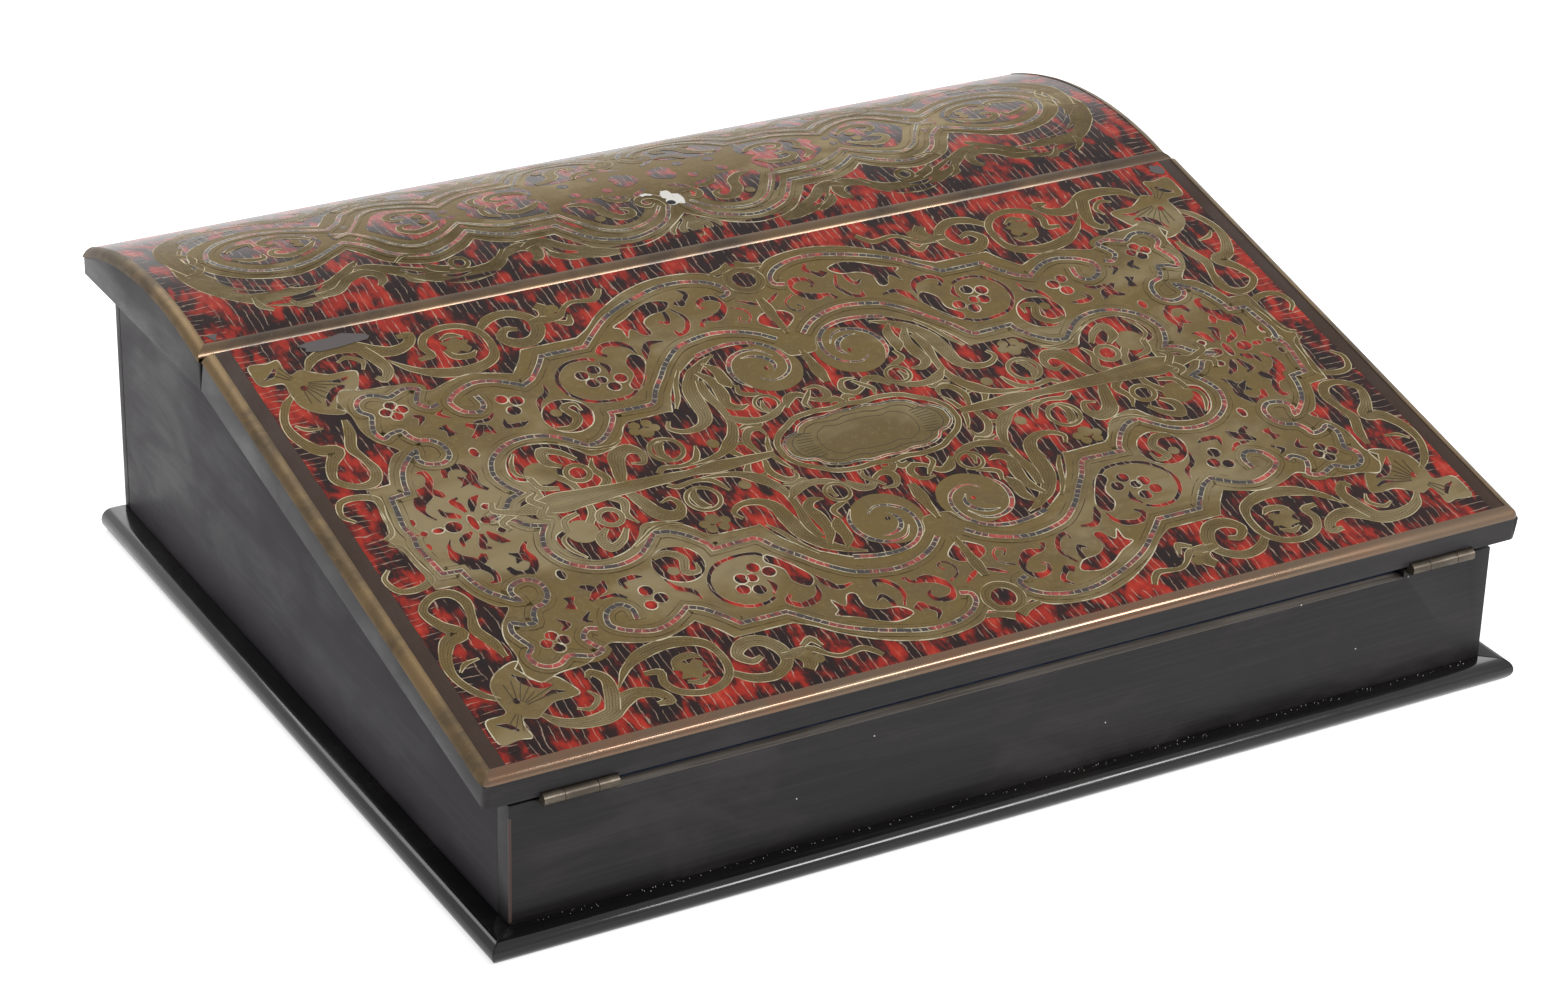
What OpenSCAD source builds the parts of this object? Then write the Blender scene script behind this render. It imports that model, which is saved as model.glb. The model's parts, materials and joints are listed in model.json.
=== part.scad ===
// Sloping writing box with a hinged writing flap at the front and a hinged dome lid at the back.
// Sizes are in millimetres. The box stands on its base moulding with its front towards -Y.
// Inside this file Y is measured back from the front face of the case and Z up from the table;
// in_frame() then moves every piece so that the origin is under the middle of the whole box.

/* [Case] */
// Outside width of the case
case_w = 361; // [330:1:400]
// Outside depth of the case, front face to back face
case_d = 307; // [290:1:340]
// Thickness of the two side boards
side_t = 8; // [6:0.5:11]
// Thickness of the front board
front_t = 7.6; // [7:0.2:10]
// Thickness of the back board
back_t = 8; // [7:0.5:11]
// Thickness of the back board's lap over the ends of the sides
back_lap = 3.6; // [2:0.2:5]
// Height of the front board
front_h = 49.2; // [47:0.1:49.8]
// Depth of the finger gap cut in the front board's top edge between the hinges
lift_gap = 2.9; // [1:0.1:5]
// Height of the flat rim under the dome lid
rim_h = 96.7; // [90:0.5:110]
// Thickness of the bottom board
bottom_t = 6; // [4:0.5:8]
// Height of the bottom board's underside above the table
bottom_lift = 3; // [1:0.5:5]

/* [Base moulding] */
// Height of the base moulding
base_h = 8; // [6:0.5:12]
// How far the moulding stands out at the front
base_out_front = 8; // [6:0.5:12]
// How far the moulding stands out at the sides
base_out_side = 9.5; // [6:0.5:9.5]

/* [Writing flap] */
// How far the flap and the dome lid stand out past each side of the case
lid_out = 9.5; // [6:0.5:14]
// Gap between the front board's top edge and the flap's underside
slope_rest = 2.5; // [2.3:0.1:3]
// Thickness of the flap above the case's front face, shell included
slope_front_t = 10.6; // [10.2:0.1:11.4]
// Thickness of the flap at its back edge, shell included
slope_back_t = 14.67; // [14:0.01:15]
// How far the flap's wooden edge stands in front of the case
slope_nose = 1.9; // [1:0.1:2]
// Gap between flap and dome lid
joint_gap = 0.4; // [0.3:0.1:0.8]
// Width of the dark wood strips beside the shell
strip_w = 5.4; // [3:0.2:8]
// Margin of wood around the velvet under the flap
lining_margin = 11; // [8:0.5:20]

/* [Dome lid] */
// Depth of the dome lid, front face to back face
dome_d = 103.7; // [101:0.1:107]
// Height of the crown above the lid's underside
dome_rise = 20.2; // [18.5:0.1:24]
// Height of the curved surface's back edge above the lid's underside
dome_back_rise = 9.3; // [8.6:0.1:12]
// How far the crown lies in front of the lid's middle
crown_forward = 5; // [0:0.1:8]
// How far the lid stands out past the back of the case
dome_back_out = 4; // [2:0.5:6]
// Thickness of the lid's end boards
dome_end_t = 8; // [6:0.5:12]
// Thickness of the lid's front and back rails
dome_rail_t = 8; // [7:0.5:10]
// Thickness of the curved panel
dome_panel_t = 5; // [4:0.5:6]

/* [Brass and shell] */
// Thickness of the tortoiseshell and brass veneer
shell_t = 1.2; // [0.8:0.1:1.6]
// Radius of the half rounded brass beads
bead_r = 4.3; // [3.6:0.1:5]
// Height of the beads
bead_h = 3; // [2.4:0.1:3.4]
// How far the beads stand proud of the shell
bead_proud = 0.2; // [0:0.05:0.3]
// How far the beads stand out past the wooden edges
bead_out = 0.5; // [0.2:0.1:1]
// Half length of the cartouche plate
cartouche_half = 29; // [26:0.5:34]
// Half height of the cartouche plate
cartouche_rise = 12; // [10:0.5:14]
// Radius of the cartouche plate's round lobes
cartouche_lobe = 7.5; // [6:0.5:9]

/* [Hinges] */
// Length of each hinge
hinge_len = 25; // [22:1:34]
// Distance from the outside of the case to the middle of each hinge
hinge_in = 22.2; // [20:0.1:60]
// Outer radius of the hinge knuckles
knuckle_r = 2; // [1.9:0.05:2.1]
// Radius of the hinge pins
pin_r = 0.8; // [0.7:0.05:0.9]
// Thickness of the hinge leaves
leaf_t = 1; // [0.8:0.05:1.1]
// Radial clearance of a pin in its knuckle
pin_play = 0.05; // [0.02:0.01:0.09]
// Radius of the hinge screws' shanks
screw_r = 0.8; // [0.6:0.05:1]
// Length of the hinge screws
screw_len = 5; // [4:0.5:6]
// Length of the short hinge screws in the dome lid
short_screw_len = 3; // [2.4:0.1:3.2]

/* [Lock] */
// Width of the lock case
lock_w = 46; // [40:1:60]
// Depth of the lock case, front to back
lock_d = 34; // [34:1:44]
// Height of the lock case
lock_h = 7.2; // [6.6:0.2:7.6]
// Wall of the lock case
lock_wall = 1.2; // [0.8:0.1:1.4]
// Thickness of the strike plate
strike_t = 1; // [0.8:0.1:1.5]
// Width of the bolt
bolt_w = 14; // [10:1:20]
// Thickness of the bolt
bolt_t = 3; // [2:0.2:3.4]
// Travel of the bolt
bolt_travel = 5; // [3:0.5:6]
// Distance from the lid's front face to the keyhole
keyhole_back = 31; // [29:1:33]
// Radius of the keyhole's round part
keyhole_r = 2.2; // [1.6:0.1:2.6]

/* [Inside fittings] */
// Thickness of the partition between the paper space and the well
partition_t = 7; // [5:0.5:9]
// Height of the well's floor above the table, top face
well_floor_h = 34; // [28:1:36]
// Thickness of the well's floor
well_floor_t = 6; // [4:0.5:8]
// Width of each inkwell cell
ink_cell_w = 42; // [40:1:50]
// Thickness of the two dividers beside the inkwells
divider_t = 5; // [4:0.5:8]
// Height of the dividers' top edge above the table
divider_top = 88; // [85:1:92]
// Height of the pen tray's top face above the table
tray_top = 84; // [80:1:86]
// Thickness of the pen tray
tray_t = 15; // [13:1:18]
// Radius of the pen trough
trough_r = 20; // [18:1:24]
// Depth of the pen trough
trough_depth = 8; // [6:0.5:10]
// Width of the flat edges along the pen trough
tray_margin = 5; // [3:0.5:9]
// Length of the solid ends of the pen tray
tray_end = 12; // [6:1:30]
// Thickness of the velvet linings
velvet_t = 1.2; // [0.8:0.1:1.5]

/* [Inkwells] */
// Width of the square glass bottles
bottle_w = 36; // [34:1:38]
// Height of the glass bottles
bottle_h = 32; // [26:1:36]
// Radius of the round hollow in the glass
bottle_bore_r = 12.5; // [10:0.5:13]
// Height of the brass collar
collar_h = 3; // [2:0.5:4]
// Radius of the brass cap
cap_r = 15; // [14:0.5:16]

/* [Hidden] */
$fn = 96;

// Clearances and small shared sizes
rim_gap = 0.3;
knuckle_gap = 0.2;
knuckle_clear = 0.3;
sliding = 0.3;
screw_play = 0.05;
far = 400;

// Widths
half_w = case_w / 2;
half_in = half_w - side_t;
half_lid = half_w + lid_out;
hinge_x = half_w - hinge_in;
half_wood = half_lid - bead_out;
bead_w = sqrt(pow(bead_r, 2) - pow(bead_r - bead_h, 2));
half_shell_dome = half_lid - bead_w;
half_shell_slope = half_shell_dome - strip_w;

// Depths
dome_back = case_d + dome_back_out;
dome_front = dome_back - dome_d;
joint_y = dome_front - joint_gap / 2;
slope_end = dome_front - joint_gap;
partition_front = joint_y - partition_t / 2;
well_front = partition_front + partition_t;
well_back = case_d - back_t;

// Heights of the flap's two faces at a distance back from the case's front
dome_base = rim_h + rim_gap;
slope_under_h = front_h + slope_rest;
slope_top_h = slope_under_h + slope_front_t;
slope_angle = atan((dome_base + rim_gap + slope_back_t - slope_top_h) / slope_end);
slope_len = slope_end * cos(slope_angle) + (dome_base + rim_gap - slope_top_h) * sin(slope_angle);
function slope_top(y) = slope_top_h + tan(slope_angle) * y;
under_rise = (dome_base + rim_gap - slope_under_h) / slope_end;
under_angle = atan(under_rise);
function slope_under(y) = slope_under_h + under_rise * y;

// Curved surface of the dome lid: one arc through the crown and the back edge
crown_h = dome_base + dome_rise;
crown_y = (dome_front + dome_back) / 2 - crown_forward;
crown_drop = dome_rise - dome_back_rise;
dome_r = (pow(dome_back - crown_y, 2) + pow(crown_drop, 2)) / (2 * crown_drop);
dome_cz = crown_h - dome_r;
bead_dome_r = dome_r + bead_proud;
bead_c_r = bead_dome_r - bead_h;
front_bead_y = dome_front + bead_w;
front_bead_z = dome_cz + sqrt(pow(bead_dome_r, 2) - pow(crown_y - front_bead_y, 2)) - bead_h;
panel_out_r = dome_r - shell_t;
panel_in_r = panel_out_r - dome_panel_t;

// Hinge axes
front_axis_y = -(knuckle_r + knuckle_clear);
front_axis_z = front_h + 1.05;
back_axis_y = dome_back + knuckle_r + knuckle_clear;
back_axis_z = rim_h + rim_gap / 2;
middle_knuckle = hinge_len * 0.44;
gap_half = hinge_x - hinge_len / 2 - 0.6;
edge_velvet_w = 2.2;
edge_velvet_t = 1.6;
screw_xs = [-hinge_len * 0.36, 0, hinge_len * 0.36];

// Lock
lock_z = dome_base + 1.4;
lock_front = dome_front + dome_rail_t;
lock_bite = 1.1;
lock_block_out = 3;
lock_room = 4;
bolt_z = lock_z + lock_h / 2 - bolt_t / 2;
bolt_rest = dome_front + sliding;
key_y = dome_front + keyhole_back;

// Inkwells
ink_x = half_in - ink_cell_w / 2;
ink_y = well_front + ink_cell_w / 2;
divider_x = half_in - ink_cell_w - divider_t;
collar_z = well_floor_h + bottle_h;
cap_z = collar_z + collar_h + rim_gap;
cap_knuckle_r = 1.5;
cap_pin_r = 0.6;
cap_axis_y = ink_y + cap_r + cap_knuckle_r + knuckle_clear + 0.4;
cap_axis_z = collar_z + collar_h + rim_gap / 2;
cap_hinge_len = 12;
cap_middle = 4.4;
cap_t = 1.8;
cap_edge = 2;
cap_dome_r = 22;
tray_ledge = 6;
partition_drop = 0.5;
cell_divider_drop = 4;

// The part's own frame: the origin is under the middle of the whole box
frame_y = (back_axis_y + knuckle_r - base_out_front) / 2;

module in_frame() {
  translate([0, -frame_y, 0]) children();
}

// A board whose outline is drawn in Y and Z, from x0 to x1
module board(x0, x1) {
  translate([x0, 0, 0]) rotate([90, 0, 90]) linear_extrude(x1 - x0) children();
}

// The disc of the dome's curved surface, drawn in Y and Z
module dome_disc(r) {
  translate([crown_y, dome_cz]) circle(r, $fn = 360);
}

// Everything between two distances back from the case's front
module between(y0, y1) {
  translate([-far, y0, -1]) cube([2 * far, y1 - y0, far]);
}

// A cylinder along X from x0 to x1
module rod_x(r, x0, x1) {
  translate([x0, 0, 0]) rotate([0, 90, 0]) cylinder(r = r, h = x1 - x0);
}

module on_slope() {
  translate([0, 0, slope_top_h]) rotate([slope_angle, 0, 0]) children();
}

module keyhole(z0, z1) {
  translate([0, key_y, z0]) cylinder(r = keyhole_r, h = z1 - z0);
  translate([-keyhole_r * 0.4, key_y, z0]) cube([keyhole_r * 0.8, keyhole_r * 2.4, z1 - z0]);
}

// Case boards
module side_board(s) {
  in_frame() color("#3b3436") difference() {
    board(s < 0 ? -half_w : half_in, s < 0 ? -half_in : half_w)
      polygon([
        [front_t, 0],
        [case_d, 0],
        [case_d, rim_h],
        [(rim_h + rim_gap - slope_under_h) / under_rise, rim_h],
        [front_t, slope_under(front_t) - rim_gap]
      ]);
    translate([-far, case_d - back_lap, -1]) cube([2 * far, far, far]);
  }
}

module side_left() {
  side_board(-1);
}

module side_right() {
  side_board(1);
}

module front_board() {
  in_frame() color("#2b2a2c") difference() {
    translate([-half_w, 0, 0]) cube([case_w, front_t, front_h]);
    translate([-gap_half, -1, front_h - lift_gap]) cube([2 * gap_half, far, far]);
    for (s = [-1, 1]) {
      translate([s * hinge_x - hinge_len / 2, -1, front_h - leaf_t]) cube([hinge_len, far, far]);
      front_screws_at(s) screw(screw_play);
    }
  }
}

module back_board() {
  in_frame() color("#2b2a2c") difference() {
    union() {
      translate([-half_in, case_d - back_t, 0]) cube([2 * half_in, back_t, rim_h]);
      translate([-half_w, case_d - back_lap, 0]) cube([case_w, back_lap, rim_h]);
    }
    for (s = [-1, 1]) {
      translate([s * hinge_x - hinge_len / 2, case_d - back_t - 1, rim_h - leaf_t])
        cube([hinge_len, far, far]);
      back_screws_at(s) screw(screw_play);
    }
  }
}

module bottom_board() {
  in_frame() color("#4a3527")
    translate([-half_in, front_t, bottom_lift])
      cube([2 * half_in, case_d - back_t - front_t, bottom_t]);
}

// Base moulding: a thumb profile, mitred at the two front corners
module thumb(out) {
  square([out - base_h / 2, base_h]);
  translate([out - base_h / 2, base_h / 2]) circle(base_h / 2);
}

module base_moulding_front() {
  in_frame() color("#1f1d1e") intersection() {
    translate([half_w + base_out_side, 0, 0]) rotate([90, 0, -90])
      linear_extrude(case_w + 2 * base_out_side) thumb(base_out_front);
    linear_extrude(base_h) polygon([
      [-half_w - base_out_side, -base_out_front],
      [half_w + base_out_side, -base_out_front],
      [half_w, 0],
      [-half_w, 0]
    ]);
  }
}

module base_side() {
  in_frame() color("#1f1d1e") intersection() {
    translate([half_w, case_d, 0]) rotate([90, 0, 0])
      linear_extrude(case_d + base_out_front) thumb(base_out_side);
    linear_extrude(base_h) polygon([
      [half_w, 0],
      [half_w + base_out_side, -base_out_front],
      [half_w + base_out_side, case_d],
      [half_w, case_d]
    ]);
  }
}

module base_moulding_right() {
  base_side();
}

module base_moulding_left() {
  mirror([1, 0, 0]) base_side();
}

// Inside of the case
module partition() {
  in_frame() color("#4a3527")
    translate([-half_in, partition_front, well_floor_h - well_floor_t])
      cube([2 * half_in, partition_t, rim_h - partition_drop - well_floor_h + well_floor_t]);
}

module well_floor() {
  in_frame() color("#4a3527")
    translate([-half_in, well_front, well_floor_h - well_floor_t])
      cube([2 * half_in, well_back - well_front, well_floor_t]);
}

module ink_divider() {
  in_frame() color("#5a3d2b")
    translate([divider_x, well_front, well_floor_h])
      cube([divider_t, well_back - well_front, divider_top - well_floor_h]);
}

module ink_divider_right() {
  ink_divider();
}

module ink_divider_left() {
  mirror([1, 0, 0]) ink_divider();
}

module cell_divider() {
  in_frame() color("#5a3d2b")
    translate([divider_x + divider_t, ink_y + ink_cell_w / 2, well_floor_h])
      cube([ink_cell_w, divider_t, bottle_h - cell_divider_drop]);
}

module cell_divider_right() {
  cell_divider();
}

module cell_divider_left() {
  mirror([1, 0, 0]) cell_divider();
}

module tray_ledge_piece() {
  in_frame() color("#5a3d2b")
    translate([divider_x - tray_ledge, well_front, tray_top - tray_t - tray_ledge])
      cube([tray_ledge, well_back - well_front, tray_ledge]);
}

module tray_ledge_right() {
  tray_ledge_piece();
}

module tray_ledge_left() {
  mirror([1, 0, 0]) tray_ledge_piece();
}

// The tray is a board with one long trough; the space behind it is left open
module pen_tray() {
  tray_half = divider_x - rim_gap;
  trough_half_w = sqrt(pow(trough_r, 2) - pow(trough_r - trough_depth, 2));
  tray_front = well_front + rim_gap;
  in_frame() color("#5a3d2b") difference() {
    translate([-tray_half, tray_front, tray_top - tray_t])
      cube([2 * tray_half, 2 * (trough_half_w + tray_margin), tray_t]);
    translate([0, tray_front + tray_margin + trough_half_w, tray_top + trough_r - trough_depth])
      rod_x(trough_r, tray_end - tray_half, tray_half - tray_end);
  }
}

module paper_space_velvet() {
  in_frame() color("#1f2c4a")
    translate([-half_in + rim_gap, front_t + rim_gap, bottom_lift + bottom_t])
      cube([2 * (half_in - rim_gap), partition_front - front_t - 2 * rim_gap, velvet_t]);
}

module front_edge_velvet() {
  in_frame() color("#1f2c4a")
    translate([-gap_half, front_t - edge_velvet_w, front_h - lift_gap])
      cube([2 * gap_half, edge_velvet_w, edge_velvet_t]);
}

// Hinges: the fixed leaf has the two outer knuckles, the moving leaf the middle one.
// Each is drawn about its own axis with its plate towards +Y.
module hinge_knuckles(moving) {
  half_mid = middle_knuckle / 2;
  if (moving) {
    rod_x(knuckle_r, -half_mid, half_mid);
  } else {
    rod_x(knuckle_r, -hinge_len / 2, -half_mid - knuckle_gap);
    rod_x(knuckle_r, half_mid + knuckle_gap, hinge_len / 2);
  }
}

module knuckle_notches(moving) {
  half_mid = middle_knuckle / 2;
  notch_r = knuckle_r + knuckle_clear;
  if (moving) {
    rod_x(notch_r, -hinge_len / 2 - 1, -half_mid);
    rod_x(notch_r, half_mid, hinge_len / 2 + 1);
  } else {
    rod_x(notch_r, -half_mid - knuckle_gap, half_mid + knuckle_gap);
  }
}

// near is the height of the plate's lower face over the hinge axis
module hinge_leaf(moving, near, reach) {
  difference() {
    union() {
      hinge_knuckles(moving);
      difference() {
        translate([-hinge_len / 2, 0, near]) cube([hinge_len, reach, leaf_t]);
        knuckle_notches(moving);
      }
    }
    rod_x(pin_r + pin_play, -hinge_len, hinge_len);
  }
}

// A countersunk screw whose head lies flush with the plane z = 0 and whose point is down
module screw(play, len = screw_len) {
  translate([0, 0, -len]) cylinder(r = screw_r + play, h = len);
  translate([0, 0, -screw_r]) cylinder(r1 = screw_r + play, r2 = 2 * screw_r + play, h = screw_r);
}

module front_hinge_at(s) {
  translate([s * hinge_x, front_axis_y, front_axis_z]) children();
}

module back_hinge_at(s) {
  translate([s * hinge_x, back_axis_y, back_axis_z]) mirror([0, 1, 0]) children();
}

// Screws of the fixed leaves, heads up
module front_screws_at(s) {
  for (x = screw_xs) translate([s * hinge_x + x, front_t * 0.55, front_h]) children();
}

module back_screws_at(s) {
  for (x = screw_xs) translate([s * hinge_x + x, case_d - back_t * 0.55, rim_h]) children();
}

// Screws of the moving leaves, heads down on the face that shows when the lid is open
module slope_leaf_frame(s) {
  front_hinge_at(s) rotate([under_angle, 0, 0]) children();
}

slope_leaf_near = (slope_under(front_axis_y) - front_axis_z) * cos(under_angle) - leaf_t;
slope_leaf_reach = front_t - front_axis_y;

module slope_screws_at(s) {
  slope_leaf_frame(s) for (x = screw_xs)
    translate([x, slope_leaf_reach - front_t * 0.45, slope_leaf_near]) rotate([180, 0, 0]) children();
}

dome_leaf_near = rim_gap / 2;
dome_leaf_reach = back_axis_y - (case_d - back_t);

module dome_screws_at(s) {
  for (x = screw_xs)
    translate([s * hinge_x + x, dome_back - dome_rail_t * 0.55, dome_base]) rotate([180, 0, 0]) children();
}

module front_hinge_fixed_leaves() {
  in_frame() color("#8a8172") difference() {
    for (s = [-1, 1]) front_hinge_at(s)
      hinge_leaf(false, front_h - leaf_t - front_axis_z, front_t - front_axis_y);
    for (s = [-1, 1]) front_screws_at(s) screw(screw_play);
  }
}

module back_hinge_fixed_leaves() {
  in_frame() color("#8a8172") difference() {
    for (s = [-1, 1]) back_hinge_at(s)
      hinge_leaf(false, rim_h - leaf_t - back_axis_z, back_axis_y - (case_d - back_t));
    for (s = [-1, 1]) back_screws_at(s) screw(screw_play);
  }
}

module slope_hinge_leaves() {
  in_frame() color("#8a8172") difference() {
    for (s = [-1, 1]) slope_leaf_frame(s) hinge_leaf(true, slope_leaf_near, slope_leaf_reach);
    for (s = [-1, 1]) slope_screws_at(s) screw(screw_play);
  }
}

module dome_hinge_leaves() {
  in_frame() color("#8a8172") difference() {
    for (s = [-1, 1]) back_hinge_at(s) hinge_leaf(true, dome_leaf_near, dome_leaf_reach);
    for (s = [-1, 1]) dome_screws_at(s) screw(screw_play, short_screw_len);
  }
}

module hinge_pins() {
  in_frame() color("#b7ad98") for (s = [-1, 1]) {
    front_hinge_at(s) rod_x(pin_r, -hinge_len / 2, hinge_len / 2);
    back_hinge_at(s) rod_x(pin_r, -hinge_len / 2, hinge_len / 2);
  }
}

module case_hinge_screws() {
  in_frame() color("#b7ad98") for (s = [-1, 1]) {
    front_screws_at(s) screw(0);
    back_screws_at(s) screw(0);
  }
}

module slope_hinge_screws() {
  in_frame() color("#b7ad98") for (s = [-1, 1]) slope_screws_at(s) screw(0);
}

module dome_hinge_screws() {
  in_frame() color("#b7ad98") for (s = [-1, 1]) dome_screws_at(s) screw(0, short_screw_len);
}

// Writing flap. Its beads, strips and shell are drawn flat and then laid on the slope:
// X across, Y up the slope and Z out of the shell surface.
bead_floor = bead_proud - bead_h;
// bead_nose is where the front bead starts and shell_start where the shell meets it.
bead_nose = -(slope_nose + 0.1 - bead_floor * sin(slope_angle)) / cos(slope_angle);
shell_start = bead_nose + bead_w;
lobe_side_x = 12.5;
lobe_step = 0.6;

module bead_section() {
  intersection() {
    translate([0, bead_h - bead_r]) circle(bead_r);
    square([bead_r, bead_h]);
  }
}

module slope_side_bead() {
  on_slope() translate([half_lid - bead_w, slope_len, bead_floor]) rotate([90, 0, 0])
    linear_extrude(slope_len - bead_nose) bead_section();
}

module slope_front_bead() {
  on_slope() translate([-half_lid, bead_nose + bead_w, bead_floor]) rotate([90, 0, 90])
    linear_extrude(2 * half_lid) mirror([1, 0]) bead_section();
}

// The wedge of space that the front bead fills between the two mitres, carried on past the bead
module slope_mitre() {
  over = bead_w;
  on_slope() translate([0, 0, -far / 2]) linear_extrude(far) polygon([
    [-half_lid - over, bead_nose - over],
    [half_lid + over, bead_nose - over],
    [half_lid - bead_w - over, bead_nose + bead_w + over],
    [bead_w + over - half_lid, bead_nose + bead_w + over]
  ]);
}

module slope_bead_front() {
  in_frame() color("#a58a4e") intersection() {
    slope_front_bead();
    slope_mitre();
  }
}

module slope_bead_side() {
  in_frame() color("#a58a4e") difference() {
    slope_side_bead();
    slope_mitre();
  }
}

module slope_bead_right() {
  slope_bead_side();
}

module slope_bead_left() {
  mirror([1, 0, 0]) slope_bead_side();
}

module slope_strip() {
  in_frame() color("#4b3a35") on_slope()
    translate([half_shell_slope, shell_start, -shell_t]) cube([strip_w, slope_len - shell_start, shell_t]);
}

module slope_strip_right() {
  slope_strip();
}

module slope_strip_left() {
  mirror([1, 0, 0]) slope_strip();
}

module cartouche_outline(grow) {
  r = cartouche_lobe + grow;
  end_x = cartouche_half - cartouche_lobe;
  lobe_rise = cartouche_rise - cartouche_lobe;
  translate([0, (slope_len + bead_nose) / 2]) {
    square([2 * end_x, 2 * r], center = true);
    for (sx = [-1, 1]) {
      translate([sx * end_x, 0]) circle(r);
      for (sy = [-1, 1]) translate([sx * lobe_side_x, sy * (lobe_rise - lobe_step)]) circle(r);
      translate([0, sx * lobe_rise]) circle(r);
    }
  }
}

module slope_shell() {
  in_frame() color("#8c2f26") on_slope() difference() {
    translate([-half_shell_slope, shell_start, -shell_t])
      cube([2 * half_shell_slope, slope_len - shell_start, shell_t]);
    translate([0, 0, -2 * shell_t]) linear_extrude(4 * shell_t) cartouche_outline(0);
  }
}

module slope_cartouche() {
  in_frame() color("#a58a4e") on_slope()
    translate([0, 0, -shell_t]) linear_extrude(shell_t + 0.1) cartouche_outline(-0.05);
}

// The top end is cut square to the shell surface, so the gap in front of the dome lid opens upwards
bolt_mid_z = bolt_z + bolt_t / 2;
bolt_mouth_y = slope_end - (bolt_mid_z - dome_base) * tan(slope_angle);
strike_mid = (bolt_mid_z - slope_top_h - tan(slope_angle) * bolt_mouth_y) * cos(slope_angle);
strike_end = 6;
strike_w = bolt_w + 2 * strike_end;
strike_rim = 2.3;
strike_h = bolt_t + 2 * strike_rim;

module strike_blank(depth) {
  on_slope() translate([-strike_w / 2, slope_len - depth, strike_mid - strike_h / 2])
    cube([strike_w, depth, strike_h]);
}

module bolt_mortise(depth, play) {
  translate([-bolt_w / 2 - play, bolt_mouth_y - depth, bolt_z - play])
    cube([bolt_w + 2 * play, depth + 4, bolt_t + 2 * play]);
}

module slope_board() {
  in_frame() color("#2b2a2c") difference() {
    intersection() {
      board(-half_wood, half_wood) polygon([
        [-slope_nose, slope_under(-slope_nose)],
        [slope_end + 2, slope_under(slope_end + 2)],
        [slope_end + 2, slope_top(slope_end + 2) - shell_t / cos(slope_angle)],
        [-slope_nose, slope_top(-slope_nose) - shell_t / cos(slope_angle)]
      ]);
      on_slope() translate([-far, -far / 2, -far]) cube([2 * far, slope_len + far / 2, 2 * far]);
    }
    on_slope() for (s = [-1, 1])
      translate([s > 0 ? half_shell_dome : -half_lid, -far, bead_floor]) cube([bead_w, 2 * far, far]);
    on_slope() translate([-far, bead_nose, bead_floor]) cube([2 * far, bead_w, far]);
    for (s = [-1, 1]) slope_leaf_frame(s)
      rod_x(knuckle_r + knuckle_clear, -hinge_len / 2 - knuckle_clear, hinge_len / 2 + knuckle_clear);
    bolt_mortise(bolt_travel + 1, 0.5);
    strike_blank(strike_t);
    strike_screws_at() screw(screw_play);
    for (s = [-1, 1]) slope_screws_at(s) screw(screw_play);
  }
}

module slope_velvet() {
  y0 = lining_margin + 2;
  y1 = slope_end - lining_margin;
  in_frame() color("#1f2c4a") board(-half_in + 2, half_in - 2) polygon([
    [y0, slope_under(y0)],
    [y1, slope_under(y1)],
    [y1, slope_under(y1) - velvet_t],
    [y0, slope_under(y0) - velvet_t]
  ]);
}

module strike_screws_at() {
  on_slope() for (s = [-1, 1])
    translate([s * (bolt_w / 2 + 3), slope_len, strike_mid]) rotate([-90, 0, 0]) children();
}

module strike_plate() {
  in_frame() color("#a58a4e") difference() {
    strike_blank(strike_t);
    bolt_mortise(strike_t + 2, sliding);
    strike_screws_at() screw(screw_play);
  }
}

module strike_screws() {
  in_frame() color("#b7ad98") strike_screws_at() screw(0);
}

// Dome lid
module dome_end() {
  in_frame() color("#3b3436") union() {
    board(half_wood - dome_end_t, half_wood) intersection() {
      dome_disc(bead_c_r);
      translate([dome_front, dome_base]) square([dome_back - dome_front, far]);
    }
    board(half_wood - dome_end_t, half_shell_dome) intersection() {
      dome_disc(panel_out_r);
      translate([front_bead_y, dome_base]) square([dome_back - front_bead_y, far]);
    }
  }
}

module dome_end_right() {
  dome_end();
}

module dome_end_left() {
  mirror([1, 0, 0]) dome_end();
}

module dome_front_rail() {
  half_rail = half_wood - dome_end_t;
  in_frame() color("#2b2a2c") difference() {
    board(-half_rail, half_rail) difference() {
      intersection() {
        translate([dome_front, dome_base]) square([dome_rail_t, front_bead_z - dome_base]);
        union() {
          translate([dome_front, dome_base]) square([bead_w, far]);
          dome_disc(panel_in_r);
        }
      }
    }
    translate([-bolt_w / 2 - sliding, dome_front - 1, bolt_z - sliding])
      cube([bolt_w + 2 * sliding, dome_rail_t + 2, bolt_t + 2 * sliding]);
  }
}

module dome_back_rail() {
  half_rail = half_wood - dome_end_t;
  in_frame() color("#2b2a2c") difference() {
    board(-half_rail, half_rail) intersection() {
      dome_disc(panel_in_r);
      translate([dome_back - dome_rail_t, dome_base]) square([dome_rail_t, far]);
    }
    for (s = [-1, 1]) {
      translate([s * hinge_x - hinge_len / 2, dome_back - dome_rail_t - far, dome_base - 1])
        cube([hinge_len, 2 * far, 1 + leaf_t]);
      dome_screws_at(s) screw(screw_play, short_screw_len);
    }
  }
}

module dome_panel() {
  half_rail = half_wood - dome_end_t;
  in_frame() color("#4a3527") difference() {
    board(-half_rail, half_rail) intersection() {
      difference() {
        dome_disc(panel_out_r);
        dome_disc(panel_in_r);
      }
      translate([front_bead_y, dome_base]) square([dome_back - front_bead_y, far]);
    }
    keyhole(dome_base, crown_h + 1);
  }
}

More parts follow.
